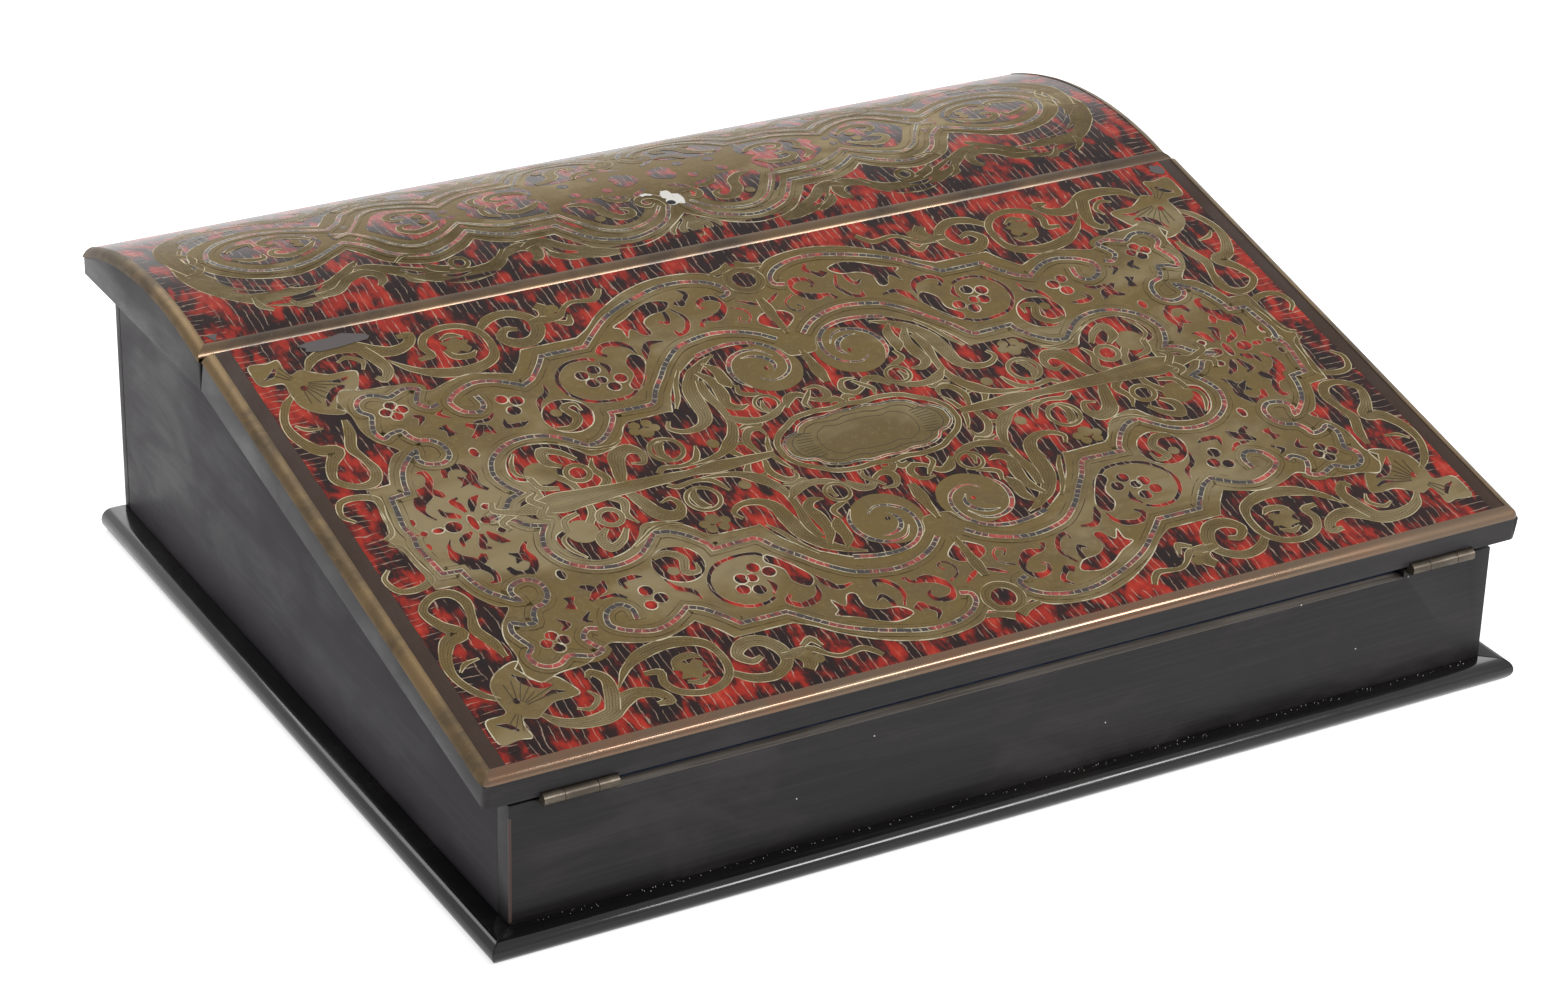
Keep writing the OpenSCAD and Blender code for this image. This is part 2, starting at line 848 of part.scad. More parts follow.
module dome_shell() {
  in_frame() color("#8c2f26") difference() {
    board(-half_shell_dome, half_shell_dome) intersection() {
      difference() {
        dome_disc(dome_r);
        dome_disc(panel_out_r);
      }
      translate([front_bead_y, dome_base]) square([dome_back - front_bead_y, far]);
    }
    keyhole(dome_base, crown_h + 1);
  }
}

module dome_mitre() {
  linear_extrude(far) polygon([
    [-half_lid, dome_front],
    [half_lid, dome_front],
    [half_lid - bead_w, front_bead_y],
    [bead_w - half_lid, front_bead_y]
  ]);
}

module dome_bead_front() {
  in_frame() color("#a58a4e") intersection() {
    board(-half_lid, half_lid) translate([front_bead_y, front_bead_z]) mirror([1, 0]) bead_section();
    dome_mitre();
  }
}

module dome_bead_side() {
  in_frame() color("#a58a4e") intersection() {
    translate([half_lid - bead_w, crown_y, dome_cz]) rotate([0, 90, 0]) difference() {
      rotate_extrude($fn = 360) translate([bead_c_r, 0]) mirror([1, -1]) bead_section();
      translate([0, -far, -1]) cube([far, 2 * far, far]);
    }
    difference() {
      between(dome_front, dome_back);
      dome_mitre();
    }
  }
}

module dome_bead_right() {
  dome_bead_side();
}

module dome_bead_left() {
  mirror([1, 0, 0]) dome_bead_side();
}

module dome_velvet() {
  half_v = half_wood - dome_end_t - 1;
  in_frame() color("#1f2c4a") difference() {
    board(-half_v, half_v) intersection() {
      difference() {
        dome_disc(panel_in_r);
        dome_disc(panel_in_r - velvet_t);
      }
      translate([dome_front + dome_rail_t + 1, dome_base])
        square([dome_back - dome_front - 2 * dome_rail_t - 2, far]);
    }
    translate([-lock_w / 2 - lock_room, 0, 0])
      cube([lock_w + 2 * lock_room, lock_front + lock_d + lock_room, far]);
  }
}

// Lock
module lock_block() {
  half_block = lock_w / 2 + lock_block_out;
  in_frame() color("#4a3527") difference() {
    board(-half_block, half_block) intersection() {
      dome_disc(panel_in_r);
      translate([lock_front, lock_z + lock_h]) square([lock_d + lock_block_out, far]);
    }
    keyhole(dome_base, crown_h);
    lock_screws_at() lock_screw(screw_play);
  }
}

module lock_case() {
  in_frame() color("#a58a4e") difference() {
    translate([-lock_w / 2, lock_front, lock_z]) cube([lock_w, lock_d, lock_h]);
    translate([-lock_w / 2 + lock_wall, lock_front + lock_wall, lock_z + lock_wall])
      cube([lock_w - 2 * lock_wall, lock_d - 2 * lock_wall, lock_h - 2 * lock_wall]);
    translate([-bolt_w / 2 - sliding, lock_front - 1, bolt_z - sliding])
      cube([bolt_w + 2 * sliding, lock_wall + 2, bolt_t + 2 * sliding]);
    keyhole(lock_z + lock_h / 2, crown_h);
    lock_screws_at() lock_screw(screw_play);
  }
}

module lock_screws_at() {
  for (sx = [-1, 1]) for (y = [lock_front + 5, lock_front + lock_d - 5])
    translate([sx * (lock_w / 2 - 4.5), y, lock_z]) children();
}

// A round headed screw driven upwards, its head under the plane z = 0
module lock_screw(play) {
  translate([0, 0, -0.8]) cylinder(r = 1.8 + play, h = 0.8);
  cylinder(r = 0.9 + play, h = lock_h + lock_bite);
}

module lock_screws() {
  in_frame() color("#b7ad98") lock_screws_at() lock_screw(0);
}

module lock_key_pin() {
  in_frame() color("#a58a4e")
    translate([0, key_y, lock_z + lock_wall]) cylinder(r = 1.25, h = lock_h - 2 * lock_wall);
}

module lock_bolt() {
  tail = key_y - 4 - bolt_rest;
  in_frame() color("#b7ad98") difference() {
    translate([-bolt_w / 2, bolt_rest, bolt_z]) cube([bolt_w, tail, bolt_t]);
    translate([0, bolt_rest + tail, bolt_z - 1]) cylinder(r = 2.6, h = bolt_t + 2);
  }
}

// Inkwells: drawn for the right side, mirrored for the left
module inkwell_glass() {
  in_frame() color("#cfe0dc") difference() {
    translate([ink_x - bottle_w / 2, ink_y - bottle_w / 2, well_floor_h])
      cube([bottle_w, bottle_w, bottle_h]);
    translate([ink_x, ink_y, well_floor_h + 5]) cylinder(r = bottle_bore_r, h = bottle_h);
  }
}

module inkwell_glass_right() {
  inkwell_glass();
}

module inkwell_glass_left() {
  mirror([1, 0, 0]) inkwell_glass();
}

module cap_hinge_frame() {
  translate([ink_x, cap_axis_y, cap_axis_z]) children();
}

module inkwell_collar() {
  half_mid = cap_middle / 2 + knuckle_gap;
  in_frame() color("#a58a4e") difference() {
    union() {
      translate([ink_x, ink_y, collar_z]) cylinder(r = cap_r + 0.5, h = collar_h);
      cap_hinge_frame() {
        rod_x(cap_knuckle_r, -cap_hinge_len / 2, -half_mid);
        rod_x(cap_knuckle_r, half_mid, cap_hinge_len / 2);
      }
      translate([ink_x - cap_hinge_len / 2, ink_y, collar_z + 0.8])
        cube([cap_hinge_len, cap_axis_y - ink_y, collar_h - 0.8 - cap_knuckle_r * 0.4]);
    }
    translate([ink_x, ink_y, collar_z - 1]) cylinder(r = bottle_bore_r, h = collar_h + 2);
    cap_hinge_frame() {
      rod_x(cap_pin_r + pin_play, -cap_hinge_len, cap_hinge_len);
      rod_x(cap_knuckle_r + knuckle_clear, -half_mid, half_mid);
    }
  }
}

module inkwell_collar_right() {
  inkwell_collar();
}

module inkwell_collar_left() {
  mirror([1, 0, 0]) inkwell_collar();
}

module inkwell_cap() {
  dome_base_r = cap_r - cap_edge;
  in_frame() color("#a58a4e") difference() {
    union() {
      translate([ink_x, ink_y, cap_z]) cylinder(r = cap_r, h = cap_t);
      intersection() {
        translate([ink_x, ink_y, cap_z + cap_t - sqrt(pow(cap_dome_r, 2) - pow(dome_base_r, 2))])
          sphere(cap_dome_r);
        translate([ink_x, ink_y, cap_z + cap_t / 2]) cylinder(r = dome_base_r, h = far);
      }
      cap_hinge_frame() rod_x(cap_knuckle_r, -cap_middle / 2, cap_middle / 2);
      translate([ink_x - cap_middle / 2, ink_y + cap_r - 3, cap_z])
        cube([cap_middle, cap_axis_y - ink_y - cap_r + 3, cap_knuckle_r - rim_gap / 2]);
    }
    cap_hinge_frame() rod_x(cap_pin_r + pin_play, -cap_hinge_len, cap_hinge_len);
  }
}

module inkwell_cap_right() {
  inkwell_cap();
}

module inkwell_cap_left() {
  mirror([1, 0, 0]) inkwell_cap();
}

module inkwell_pins() {
  in_frame() color("#b7ad98") for (s = [0, 1]) mirror([s, 0, 0])
    cap_hinge_frame() rod_x(cap_pin_r, -cap_hinge_len / 2, cap_hinge_len / 2);
}

side_left();
side_right();
front_board();
back_board();
bottom_board();
base_moulding_front();
base_moulding_left();
base_moulding_right();
partition();
well_floor();
ink_divider_left();
ink_divider_right();
cell_divider_left();
cell_divider_right();
tray_ledge_left();
tray_ledge_right();
pen_tray();
paper_space_velvet();
front_edge_velvet();
front_hinge_fixed_leaves();
back_hinge_fixed_leaves();
hinge_pins();
case_hinge_screws();
slope_board();
slope_shell();
slope_cartouche();
slope_bead_front();
slope_bead_left();
slope_bead_right();
slope_strip_left();
slope_strip_right();
slope_velvet();
slope_hinge_leaves();
slope_hinge_screws();
strike_plate();
strike_screws();
dome_end_left();
dome_end_right();
dome_front_rail();
dome_back_rail();
dome_panel();
dome_shell();
dome_bead_front();
dome_bead_left();
dome_bead_right();
dome_velvet();
dome_hinge_leaves();
dome_hinge_screws();
lock_block();
lock_case();
lock_key_pin();
lock_screws();
lock_bolt();
inkwell_glass_left();
inkwell_glass_right();
inkwell_collar_left();
inkwell_collar_right();
inkwell_cap_left();
inkwell_cap_right();
inkwell_pins();
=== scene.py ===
"""The looks of a sloping writing box with brass and tortoiseshell marquetry.

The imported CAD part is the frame. This script gives each of its pieces a finish, softens the worn
edges, and lays the cut brass and shell into the faces of the flap and of the dome lid.
Lengths are in millimetres, which MM turns into the scene's metres; the studio's own are in metres.
"""
from __future__ import annotations

import json
import logging
import math
import random
from dataclasses import dataclass, field
from enum import Enum
from functools import cache

import bmesh
import bpy
from mathutils import Matrix, Vector

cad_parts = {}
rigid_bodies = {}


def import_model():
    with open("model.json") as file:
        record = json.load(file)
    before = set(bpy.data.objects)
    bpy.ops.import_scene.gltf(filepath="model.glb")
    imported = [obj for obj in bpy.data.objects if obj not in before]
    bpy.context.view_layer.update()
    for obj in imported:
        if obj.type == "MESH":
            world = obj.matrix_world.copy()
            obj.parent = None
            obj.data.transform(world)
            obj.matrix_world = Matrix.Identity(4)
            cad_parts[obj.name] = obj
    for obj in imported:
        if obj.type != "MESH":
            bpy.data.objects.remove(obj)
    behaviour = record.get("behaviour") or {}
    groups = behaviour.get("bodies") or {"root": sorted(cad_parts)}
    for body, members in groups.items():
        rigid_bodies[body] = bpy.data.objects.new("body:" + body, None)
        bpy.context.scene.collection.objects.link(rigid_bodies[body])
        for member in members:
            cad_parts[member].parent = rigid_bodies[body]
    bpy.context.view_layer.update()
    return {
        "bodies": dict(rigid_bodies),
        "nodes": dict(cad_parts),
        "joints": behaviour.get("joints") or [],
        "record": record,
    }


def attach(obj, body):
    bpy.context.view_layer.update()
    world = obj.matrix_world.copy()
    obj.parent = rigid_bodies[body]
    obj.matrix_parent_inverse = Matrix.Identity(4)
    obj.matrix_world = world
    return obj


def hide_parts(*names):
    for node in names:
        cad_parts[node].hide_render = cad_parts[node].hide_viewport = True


MM = 0.001
SLOPE_TILT = 13.5  # degrees from the front edge of the flap up to the dome
FRONT_Y = -153.65  # the front face of the case in the row frame
LEVEL_MM = 0.04  # how far each level of the marquetry stands above the one below it
SHEET_MM = 0.3  # the thickness of a sheet of marquetry
Socket = bpy.types.NodeSocket
Piece = bpy.types.Object
Mesh = bmesh.types.BMesh
Triple = tuple[float, float, float]
Value = Socket | float | str | tuple[float, ...]
log = logging.getLogger("writing box")


def linear(hex_colour: str) -> tuple[float, float, float, float]:
    """Turn an sRGB hex colour into linear RGBA.

    Args:
        hex_colour: six hex digits after a hash sign.

    Returns:
        The linear colour with full alpha.
    """
    parts = [int(hex_colour[i:i + 2], 16) / 255 for i in (1, 3, 5)]
    flat = [c / 12.92 if c <= 0.04045 else ((c + 0.055) / 1.055) ** 2.4 for c in parts]
    return (flat[0], flat[1], flat[2], 1.0)


class Kind(Enum):
    """A kind of shader node: its name in Blender, its settings, the inputs it is given and its output."""

    PLUS = ("ShaderNodeMath", {"operation": "ADD"}, (0, 1), 0)
    MINUS = ("ShaderNodeMath", {"operation": "SUBTRACT"}, (0, 1), 0)
    TIMES = ("ShaderNodeMath", {"operation": "MULTIPLY"}, (0, 1), 0)
    OVER = ("ShaderNodeMath", {"operation": "DIVIDE"}, (0, 1), 0)
    FRACTION = ("ShaderNodeMath", {"operation": "FRACT"}, (0,), 0)
    UNSIGNED = ("ShaderNodeMath", {"operation": "ABSOLUTE"}, (0,), 0)
    GREATER = ("ShaderNodeMath", {"operation": "MAXIMUM"}, (0, 1), 0)
    SMOOTH = ("ShaderNodeMapRange", {"interpolation_type": "SMOOTHSTEP"},
              ("Value", "From Min", "From Max", "To Min", "To Max"), "Result")
    BLEND = ("ShaderNodeMix", {"data_type": "RGBA"}, (0, 6, 7), 2)  # 6 and 7 are its two colours
    RAMP = ("ShaderNodeValToRGB", {}, ("Fac",), "Color")
    OWN_PLACE = ("ShaderNodeTexCoord", {}, (), "Object")
    OWN_MAP = ("ShaderNodeTexCoord", {}, (), "UV")
    TURN = ("ShaderNodeMapping", {}, ("Vector", "Rotation"), 0)
    STRETCH = ("ShaderNodeMapping", {}, ("Vector", "Scale"), 0)
    SPLIT = ("ShaderNodeSeparateXYZ", {}, (0,), 0)
    CLOUDS = ("ShaderNodeTexNoise", {}, ("Vector", "Scale", "Detail", "Roughness", "Distortion"), "Fac")
    BUMP = ("ShaderNodeBump", {}, ("Height", "Distance"), 0)
    PRINCIPLED = ("ShaderNodeBsdfPrincipled", {}, (), 0)
    PAPER = ("ShaderNodeBsdfDiffuse", {}, ("Color",), 0)
    GLOW = ("ShaderNodeEmission", {}, ("Color", "Strength"), 0)
    SKY = ("ShaderNodeBackground", {}, ("Color", "Strength"), 0)
    BOTH = ("ShaderNodeAddShader", {}, (0, 1), 0)
    EITHER = ("ShaderNodeMixShader", {}, (0, 1, 2), 0)
    RAY = ("ShaderNodeLightPath", {}, (), 0)
    MATERIAL_END = ("ShaderNodeOutputMaterial", {}, ("Surface",), None)
    WORLD_END = ("ShaderNodeOutputWorld", {}, ("Surface",), None)


@dataclass(frozen=True)
class Nodes:
    """The node tree of a material or of the world while it is made."""

    tree: bpy.types.NodeTree

    @staticmethod
    def of(owner: bpy.types.Material | bpy.types.World) -> Nodes:
        """An empty tree in the owner."""
        owner.use_nodes = True
        owner.node_tree.nodes.clear()
        return Nodes(owner.node_tree)

    def feed(self, target: Socket, value: Value) -> None:
        """Link a socket to an input, or set the input to a number, a vector or a hex colour."""
        if isinstance(value, Socket):
            self.tree.links.new(value, target)
        else:
            target.default_value = linear(value) if isinstance(value, str) else value

    def add(self, kind: Kind, *values: Value, stops: dict[float, str] | None = None,
            **named: Value) -> Socket | None:
        """Add a node.

        Args:
            kind: the kind of node.
            values: what its inputs get, in the order that the kind gives.
            stops: the hex colours of a colour ramp, by their places on it.
            named: what other inputs get, by their names.

        Returns:
            The output that the kind gives, if it has one.
        """
        name, settings, inputs, output = kind.value
        node = self.tree.nodes.new(name)
        for setting, choice in settings.items():
            setattr(node, setting, choice)
        for key, value in [*zip(inputs, values), *named.items()]:
            self.feed(node.inputs[key], value)
        if stops:
            elements = node.color_ramp.elements
            while len(elements) < len(stops):
                elements.new(0.5)
            for element, (place, hex_colour) in zip(elements, sorted(stops.items())):
                element.position, element.color = place, linear(hex_colour)
        return None if output is None else node.outputs[output]

    def place(self, tilt: float = 0.0) -> Socket:
        """The piece's own coordinates in metres, turned about X by tilt degrees."""
        return self.add(Kind.TURN, self.add(Kind.OWN_PLACE), (math.radians(tilt), 0, 0))

    def axes(self, tilt: float = 0.0) -> list[Socket]:
        """The piece's own X, Y and Z in metres, turned about X by tilt degrees."""
        return self.add(Kind.SPLIT, self.place(tilt)).node.outputs[:]

    def own_map(self) -> list[Socket]:
        """The way along a piece of marquetry and the distance to its edge, in millimetres."""
        return self.add(Kind.SPLIT, self.add(Kind.OWN_MAP)).node.outputs[:2]

    def clouds(self, size_mm: float | Triple, detail: float = 3.0, roughness: float = 0.55,
               distortion: float = 0.0, tilt: float = 0.0) -> Socket:
        """Clouds in the piece's own coordinates.

        Args:
            size_mm: a cloud's size, one for all ways or one each along X, Y and Z.
            detail: how many finer sizes of cloud are in it.
            roughness: how strong the finer ones are.
            distortion: how far they swirl.
            tilt: how many degrees the coordinates are turned about X.

        Returns:
            A value from 0 to 1.
        """
        sizes = size_mm if isinstance(size_mm, tuple) else (size_mm,) * 3
        point = self.add(Kind.STRETCH, self.place(tilt), tuple(1 / (s * MM) for s in sizes))
        return self.add(Kind.CLOUDS, point, 1.0, detail, roughness, distortion)

    def patches(self, size_mm: float | Triple, low: float, high: float, start: float = 0.0, end: float = 1.0,
                detail: float = 4.0, tilt: float = 0.0) -> Socket:
        """Clouds whose values from low to high are spread from start to end."""
        return self.add(Kind.SMOOTH, self.clouds(size_mm, detail, tilt=tilt), low, high, start, end)

    def off_middle(self, count: Socket) -> Socket:
        """How far a running count is from the middle of its step, from 0 to a half."""
        return self.gap(self.add(Kind.FRACTION, count), 0.5)

    def gap(self, value: Value, other: float) -> Socket:
        """The difference of two values without its sign."""
        return self.add(Kind.UNSIGNED, self.add(Kind.MINUS, value, other))


@dataclass(frozen=True)
class Finish:
    """A finish of one even colour, for pieces that show little of themselves."""

    name: str
    colour: str
    roughness: float = 0.5
    metallic: float = 0.0
    coat: float = 0.0
    coat_roughness: float = 0.12
    ior: float = 1.5
    tint: str = "#ffffff"

    def build(self) -> bpy.types.Material:
        """Make the material and lay the finish's patterns over its even colour."""
        material = bpy.data.materials.new(self.name)
        nodes = Nodes.of(material)
        surface = nodes.add(Kind.PRINCIPLED, **{
            "Base Color": self.colour, "Roughness": self.roughness, "Metallic": self.metallic,
            "Coat Weight": self.coat, "Coat Roughness": self.coat_roughness, "Specular Tint": self.tint,
        })
        if self.metallic < 1:
            nodes.feed(surface.node.inputs["IOR"], self.ior)
        nodes.add(Kind.MATERIAL_END, surface)
        for name, value in self.patterns(nodes).items():
            nodes.feed(surface.node.inputs[name], value)
        return material

    def patterns(self, nodes: Nodes) -> dict[str, Value]:
        """What feeds the shader, by the names of its inputs."""
        return {}


@dataclass(frozen=True)
class EbonisedWood(Finish):
    """Pear or beech stained black and waxed: near black, with fine grain, dust and rubbed arrises."""

    worn: str = "#5c5659"
    bare: str = "#3b2a20"
    speck: str = "#8d868a"
    grain: float = 0.16
    grain_mm: Triple = (60.0, 1.2, 1.2)
    dust: float = 0.35
    foot_mm: float = 0.0

    def patterns(self, nodes: Nodes) -> dict[str, Value]:
        """Grain, clouds of dust and small scratches, worn brown near the table."""
        add = nodes.add
        grain = nodes.clouds(self.grain_mm, 4, 0.65)
        clouds = nodes.clouds((45, 45, 22), 5, 0.6, 0.4)
        specks = nodes.clouds((3.2, 3.2, 2.2), 6, 0.8)
        body = add(Kind.BLEND, add(Kind.SMOOTH, grain, 0.42, 0.7, 0.0, self.grain), self.colour, self.worn)
        dusty = add(Kind.TIMES, add(Kind.SMOOTH, clouds, 0.45, 0.75), self.dust)
        body = add(Kind.BLEND, dusty, body, self.worn)
        if self.foot_mm:
            foot = self.foot_mm * MM
            ragged = add(Kind.PLUS, nodes.axes()[2], add(Kind.TIMES, specks, foot))
            body = add(Kind.BLEND, add(Kind.SMOOTH, ragged, foot, foot * 1.4, 0.8, 0.0), body, self.bare)
        bright = add(Kind.SMOOTH, specks, 0.68, 0.76, 0.0, 0.5)
        return {
            "Base Color": add(Kind.BLEND, bright, body, self.speck),
            "Roughness": add(Kind.SMOOTH, clouds, 0.3, 0.8, self.roughness - 0.08, self.roughness + 0.2),
            "Normal": add(Kind.BUMP, grain, 0.02 * MM),
        }


@dataclass(frozen=True)
class Tortoiseshell(Finish):
    """Thin shell over red foil, polished: bright red clouds and dark mottle under a gloss, pale cracks."""

    crack: str = "#ab9480"
    grime: str = "#b3a88c"
    tilt: float = 0.0
    margin_mm: float = 171.0
    inlaid: bool = False
    streak_mm: Triple = (5.5, 11.0, 11.0)
    patch_mm: Triple = (22.0, 28.0, 28.0)
    crack_gap_mm: float = 2.9
    crack_w_mm: float = 0.26

    def patterns(self, nodes: Nodes) -> dict[str, Value]:
        """Mottle along the slope, and hair cracks that turn in the side margins."""
        add = nodes.add
        streak = nodes.clouds(self.streak_mm, 4, 0.55, 0.15, self.tilt)
        patch = nodes.clouds(self.patch_mm, 3, 0.55, 0.2, self.tilt)
        mottle = add(Kind.PLUS, add(Kind.TIMES, streak, 0.68), add(Kind.TIMES, patch, 0.32))
        colour = add(Kind.RAMP, mottle, stops={
            0.40: "#190a0a", 0.476: "#270e0d", 0.515: "#561610", 0.555: "#882015", 0.63: "#a32b1c",
            0.71: "#b34534",
        })
        across, along, _ = nodes.axes(self.tilt)
        margin = self.margin_mm * MM
        side = add(Kind.SMOOTH, add(Kind.UNSIGNED, across), margin - MM, margin + MM)
        amount = add(Kind.BLEND, side, self.cracks(nodes, across, (9, 24, 24)),
                     self.cracks(nodes, along, (24, 9, 9)))
        colour = add(Kind.BLEND, amount, colour, self.crack)
        if self.inlaid:
            colour = add(Kind.BLEND, self.rim(nodes), colour, self.grime)
        return {"Base Color": colour, "Normal": add(Kind.BUMP, add(Kind.MINUS, 1.0, amount), 0.03 * MM)}

    def cracks(self, nodes: Nodes, place: Socket, wander_mm: Triple) -> Socket:
        """Thin, wandering, broken lines square to the way in which place grows."""
        add = nodes.add
        wander = add(Kind.TIMES, nodes.clouds(wander_mm, 4, 0.6, tilt=self.tilt), 2.2)
        near = nodes.off_middle(add(Kind.PLUS, add(Kind.OVER, place, self.crack_gap_mm * MM), wander))
        half = self.crack_w_mm / self.crack_gap_mm / 2
        return add(Kind.TIMES, add(Kind.SMOOTH, near, half * 0.5, half * 1.6, 0.68, 0.0),
                   nodes.patches(7, 0.41, 0.53, tilt=self.tilt))

    def rim(self, nodes: Nodes) -> Socket:
        """Grime along the edge of a piece let into brass; V of its map is the distance to that edge."""
        return nodes.add(Kind.TIMES, nodes.add(Kind.SMOOTH, nodes.own_map()[1], 0.1, 0.24, 1.0, 0.0),
                         nodes.patches(6, 0.38, 0.6, 0.2, 0.8, tilt=self.tilt))


@dataclass(frozen=True)
class ShellChannel(Finish):
    """A narrow strip of shell between brass lines: dark red with pale rungs of grime across it."""

    grime: str = "#b0a087"
    dull_edge: str = "#6c6044"
    pale_edge: str = "#bfb596"
    rung_mm: float = 2.6
    rung_w_mm: float = 0.3

    def patterns(self, nodes: Nodes) -> dict[str, Value]:
        """Mottle, rungs and pale edges, by the strip's own map: U runs along it in millimetres, V inwards."""
        add = nodes.add
        along, inside = nodes.own_map()
        wander = add(Kind.TIMES, nodes.clouds(4, 2), 0.9)
        near = nodes.off_middle(add(Kind.PLUS, add(Kind.OVER, along, self.rung_mm), wander))
        half = self.rung_w_mm / self.rung_mm / 2
        rung = add(Kind.TIMES, add(Kind.SMOOTH, near, half * 0.6, half * 1.4, 1.0, 0.0),
                   nodes.patches(3, 0.4, 0.55, 0.1, 0.85, detail=2))
        ground = add(Kind.RAMP, nodes.clouds((9, 12, 12), 5, 0.6, 0.4), stops={
            0.40: "#171010", 0.49: "#2a1615", 0.54: "#66211b", 0.62: "#982c21", 0.7: "#ad4534",
        })
        edge = add(Kind.BLEND, nodes.patches(9, 0.44, 0.58), self.dull_edge, self.pale_edge)
        marked = add(Kind.BLEND, rung, ground, self.grime)
        return {"Base Color": add(Kind.BLEND, add(Kind.SMOOTH, inside, 0.22, 0.32, 1.0, 0.0), marked, edge)}


@dataclass(frozen=True)
class EngravedBrass(Finish):
    """Sheet brass, sawn out, engraved and left to age: olive gold with lines along its edges."""

    tilt: float = 0.0
    edge: str = "#bdb394"
    line: str = "#33291a"
    dark: str = "#64563c"
    dusty: str = "#8f8265"
    edge_mm: float = 0.3
    lines_mm: tuple[float, ...] = (0.85, 1.7, 2.6)
    vein_mm: float = 1.3
    mapped: bool = True

    def patterns(self, nodes: Nodes) -> dict[str, Value]:
        """Tarnish, lines and veins; V of the piece's map is the distance to its edge in millimetres."""
        add = nodes.add
        along, inside = nodes.own_map()
        if not self.mapped:
            inside = add(Kind.PLUS, inside, 5.0)
        clouds = nodes.clouds(16, 6, 0.65, tilt=self.tilt)
        fine = nodes.clouds(1.6, 3, 0.6, tilt=self.tilt)
        haze = nodes.clouds((70, 40, 40), 4, 0.6, 0.5, self.tilt)
        body = add(Kind.BLEND, add(Kind.SMOOTH, clouds, 0.4, 0.66), self.colour, self.dark)
        body = add(Kind.BLEND, add(Kind.SMOOTH, haze, 0.46, 0.66, 0.0, 0.7), body, self.dusty)
        body = add(Kind.BLEND, add(Kind.SMOOTH, fine, 0.5, 0.75, 0.0, 0.22), body, self.dusty)
        depth = add(Kind.PLUS, inside, add(Kind.TIMES, nodes.clouds(3), 0.35))
        first, *others = self.lines_mm
        contour = self.rule(nodes, depth, first, 0.14)
        for place in others:
            contour = add(Kind.GREATER, contour, self.rule(nodes, depth, place, 0.12))
        hatch = add(Kind.TIMES, self.veins(nodes, along, inside), 0.55)
        body = add(Kind.BLEND, add(Kind.TIMES, contour, 0.7), body, self.line)
        body = add(Kind.BLEND, hatch, body, self.line)
        rim = add(Kind.TIMES, add(Kind.SMOOTH, inside, self.edge_mm * 0.6, self.edge_mm * 1.3, 1, 0),
                  nodes.patches(7, 0.42, 0.58, 0.1, 1.0))
        level = add(Kind.MINUS, 1.0, add(Kind.GREATER, contour, hatch))
        return {
            "Base Color": add(Kind.BLEND, rim, body, self.edge),
            "Roughness": add(Kind.SMOOTH, clouds, 0.35, 0.7, self.roughness - 0.06, self.roughness + 0.12),
            "Normal": add(Kind.BUMP, level, 0.04 * MM),
        }

    def rule(self, nodes: Nodes, value: Socket, place: float, half_width: float) -> Socket:
        """One near the place, nought away from it."""
        return nodes.add(Kind.SMOOTH, nodes.gap(value, place), half_width * 0.5, half_width, 1, 0)

    def veins(self, nodes: Nodes, along: Socket, inside: Socket) -> Socket:
        """Fine engraved veins in the broad parts of a leaf, slanting away from its middle."""
        add = nodes.add
        slanted = add(Kind.PLUS, along, add(Kind.TIMES, inside, 1.6))
        near = nodes.off_middle(add(Kind.OVER, slanted, self.vein_mm))
        broad = add(Kind.TIMES, add(Kind.SMOOTH, inside, 0.8, 1.1), add(Kind.SMOOTH, inside, 4.4, 4.0))
        return add(Kind.TIMES, add(Kind.SMOOTH, near, 0.08, 0.2, 1, 0), broad)


@dataclass(frozen=True)
class CutEdge(Finish):
    """The sawn edge of the brass beside the shell: pale with polish in some places, dull in others."""

    pale: str = "#c2b99f"

    def patterns(self, nodes: Nodes) -> dict[str, Value]:
        """Broken pale runs."""
        runs = nodes.add(Kind.SMOOTH, nodes.clouds(9, 4, 0.6), 0.46, 0.6)
        return {"Base Color": nodes.add(Kind.BLEND, runs, self.colour, self.pale)}


@dataclass(frozen=True)
class CastBrass(Finish):
    """Rolled or cast brass with a brown skin, rubbed bright along the ridges."""

    dark: str = "#5f4c38"
    bright: str = "#a08a6c"
    cloud_mm: Triple = (40.0, 30.0, 20.0)
    painted_shade_from_mm: tuple[float, float] = (0.0, 0.0)

    def patterns(self, nodes: Nodes) -> dict[str, Value]:
        """Patches of brown skin and small bare spots, and painted shade towards one end along X, where the
        highlight fades: a darker colour and more roughness there.
        """
        add = nodes.add
        clouds = nodes.clouds(self.cloud_mm, 6, 0.65, 0.3)
        spots = nodes.clouds(2.2, 4, 0.7)
        skin = add(Kind.BLEND, add(Kind.SMOOTH, clouds, 0.4, 0.62), self.colour, self.dark)
        rubbed = add(Kind.BLEND, add(Kind.SMOOTH, spots, 0.6, 0.78, 0.0, 0.25), skin, self.bright)
        rough = add(Kind.SMOOTH, clouds, 0.45, 0.8, self.roughness, self.roughness + 0.2)
        # Painted shade: the colour darkens towards one end of the piece, where its highlight fades; the
        # surface also grows rougher there.
        if any(self.painted_shade_from_mm):
            start, end = (place * MM for place in self.painted_shade_from_mm)
            dull = add(Kind.SMOOTH, nodes.axes()[0], start, end)
            rubbed = add(Kind.BLEND, add(Kind.TIMES, dull, 0.7), rubbed, self.dark)
            rough = add(Kind.PLUS, rough, add(Kind.TIMES, dull, 0.3))
        return {"Base Color": rubbed, "Roughness": rough, "Normal": add(Kind.BUMP, spots, 0.001 * MM)}


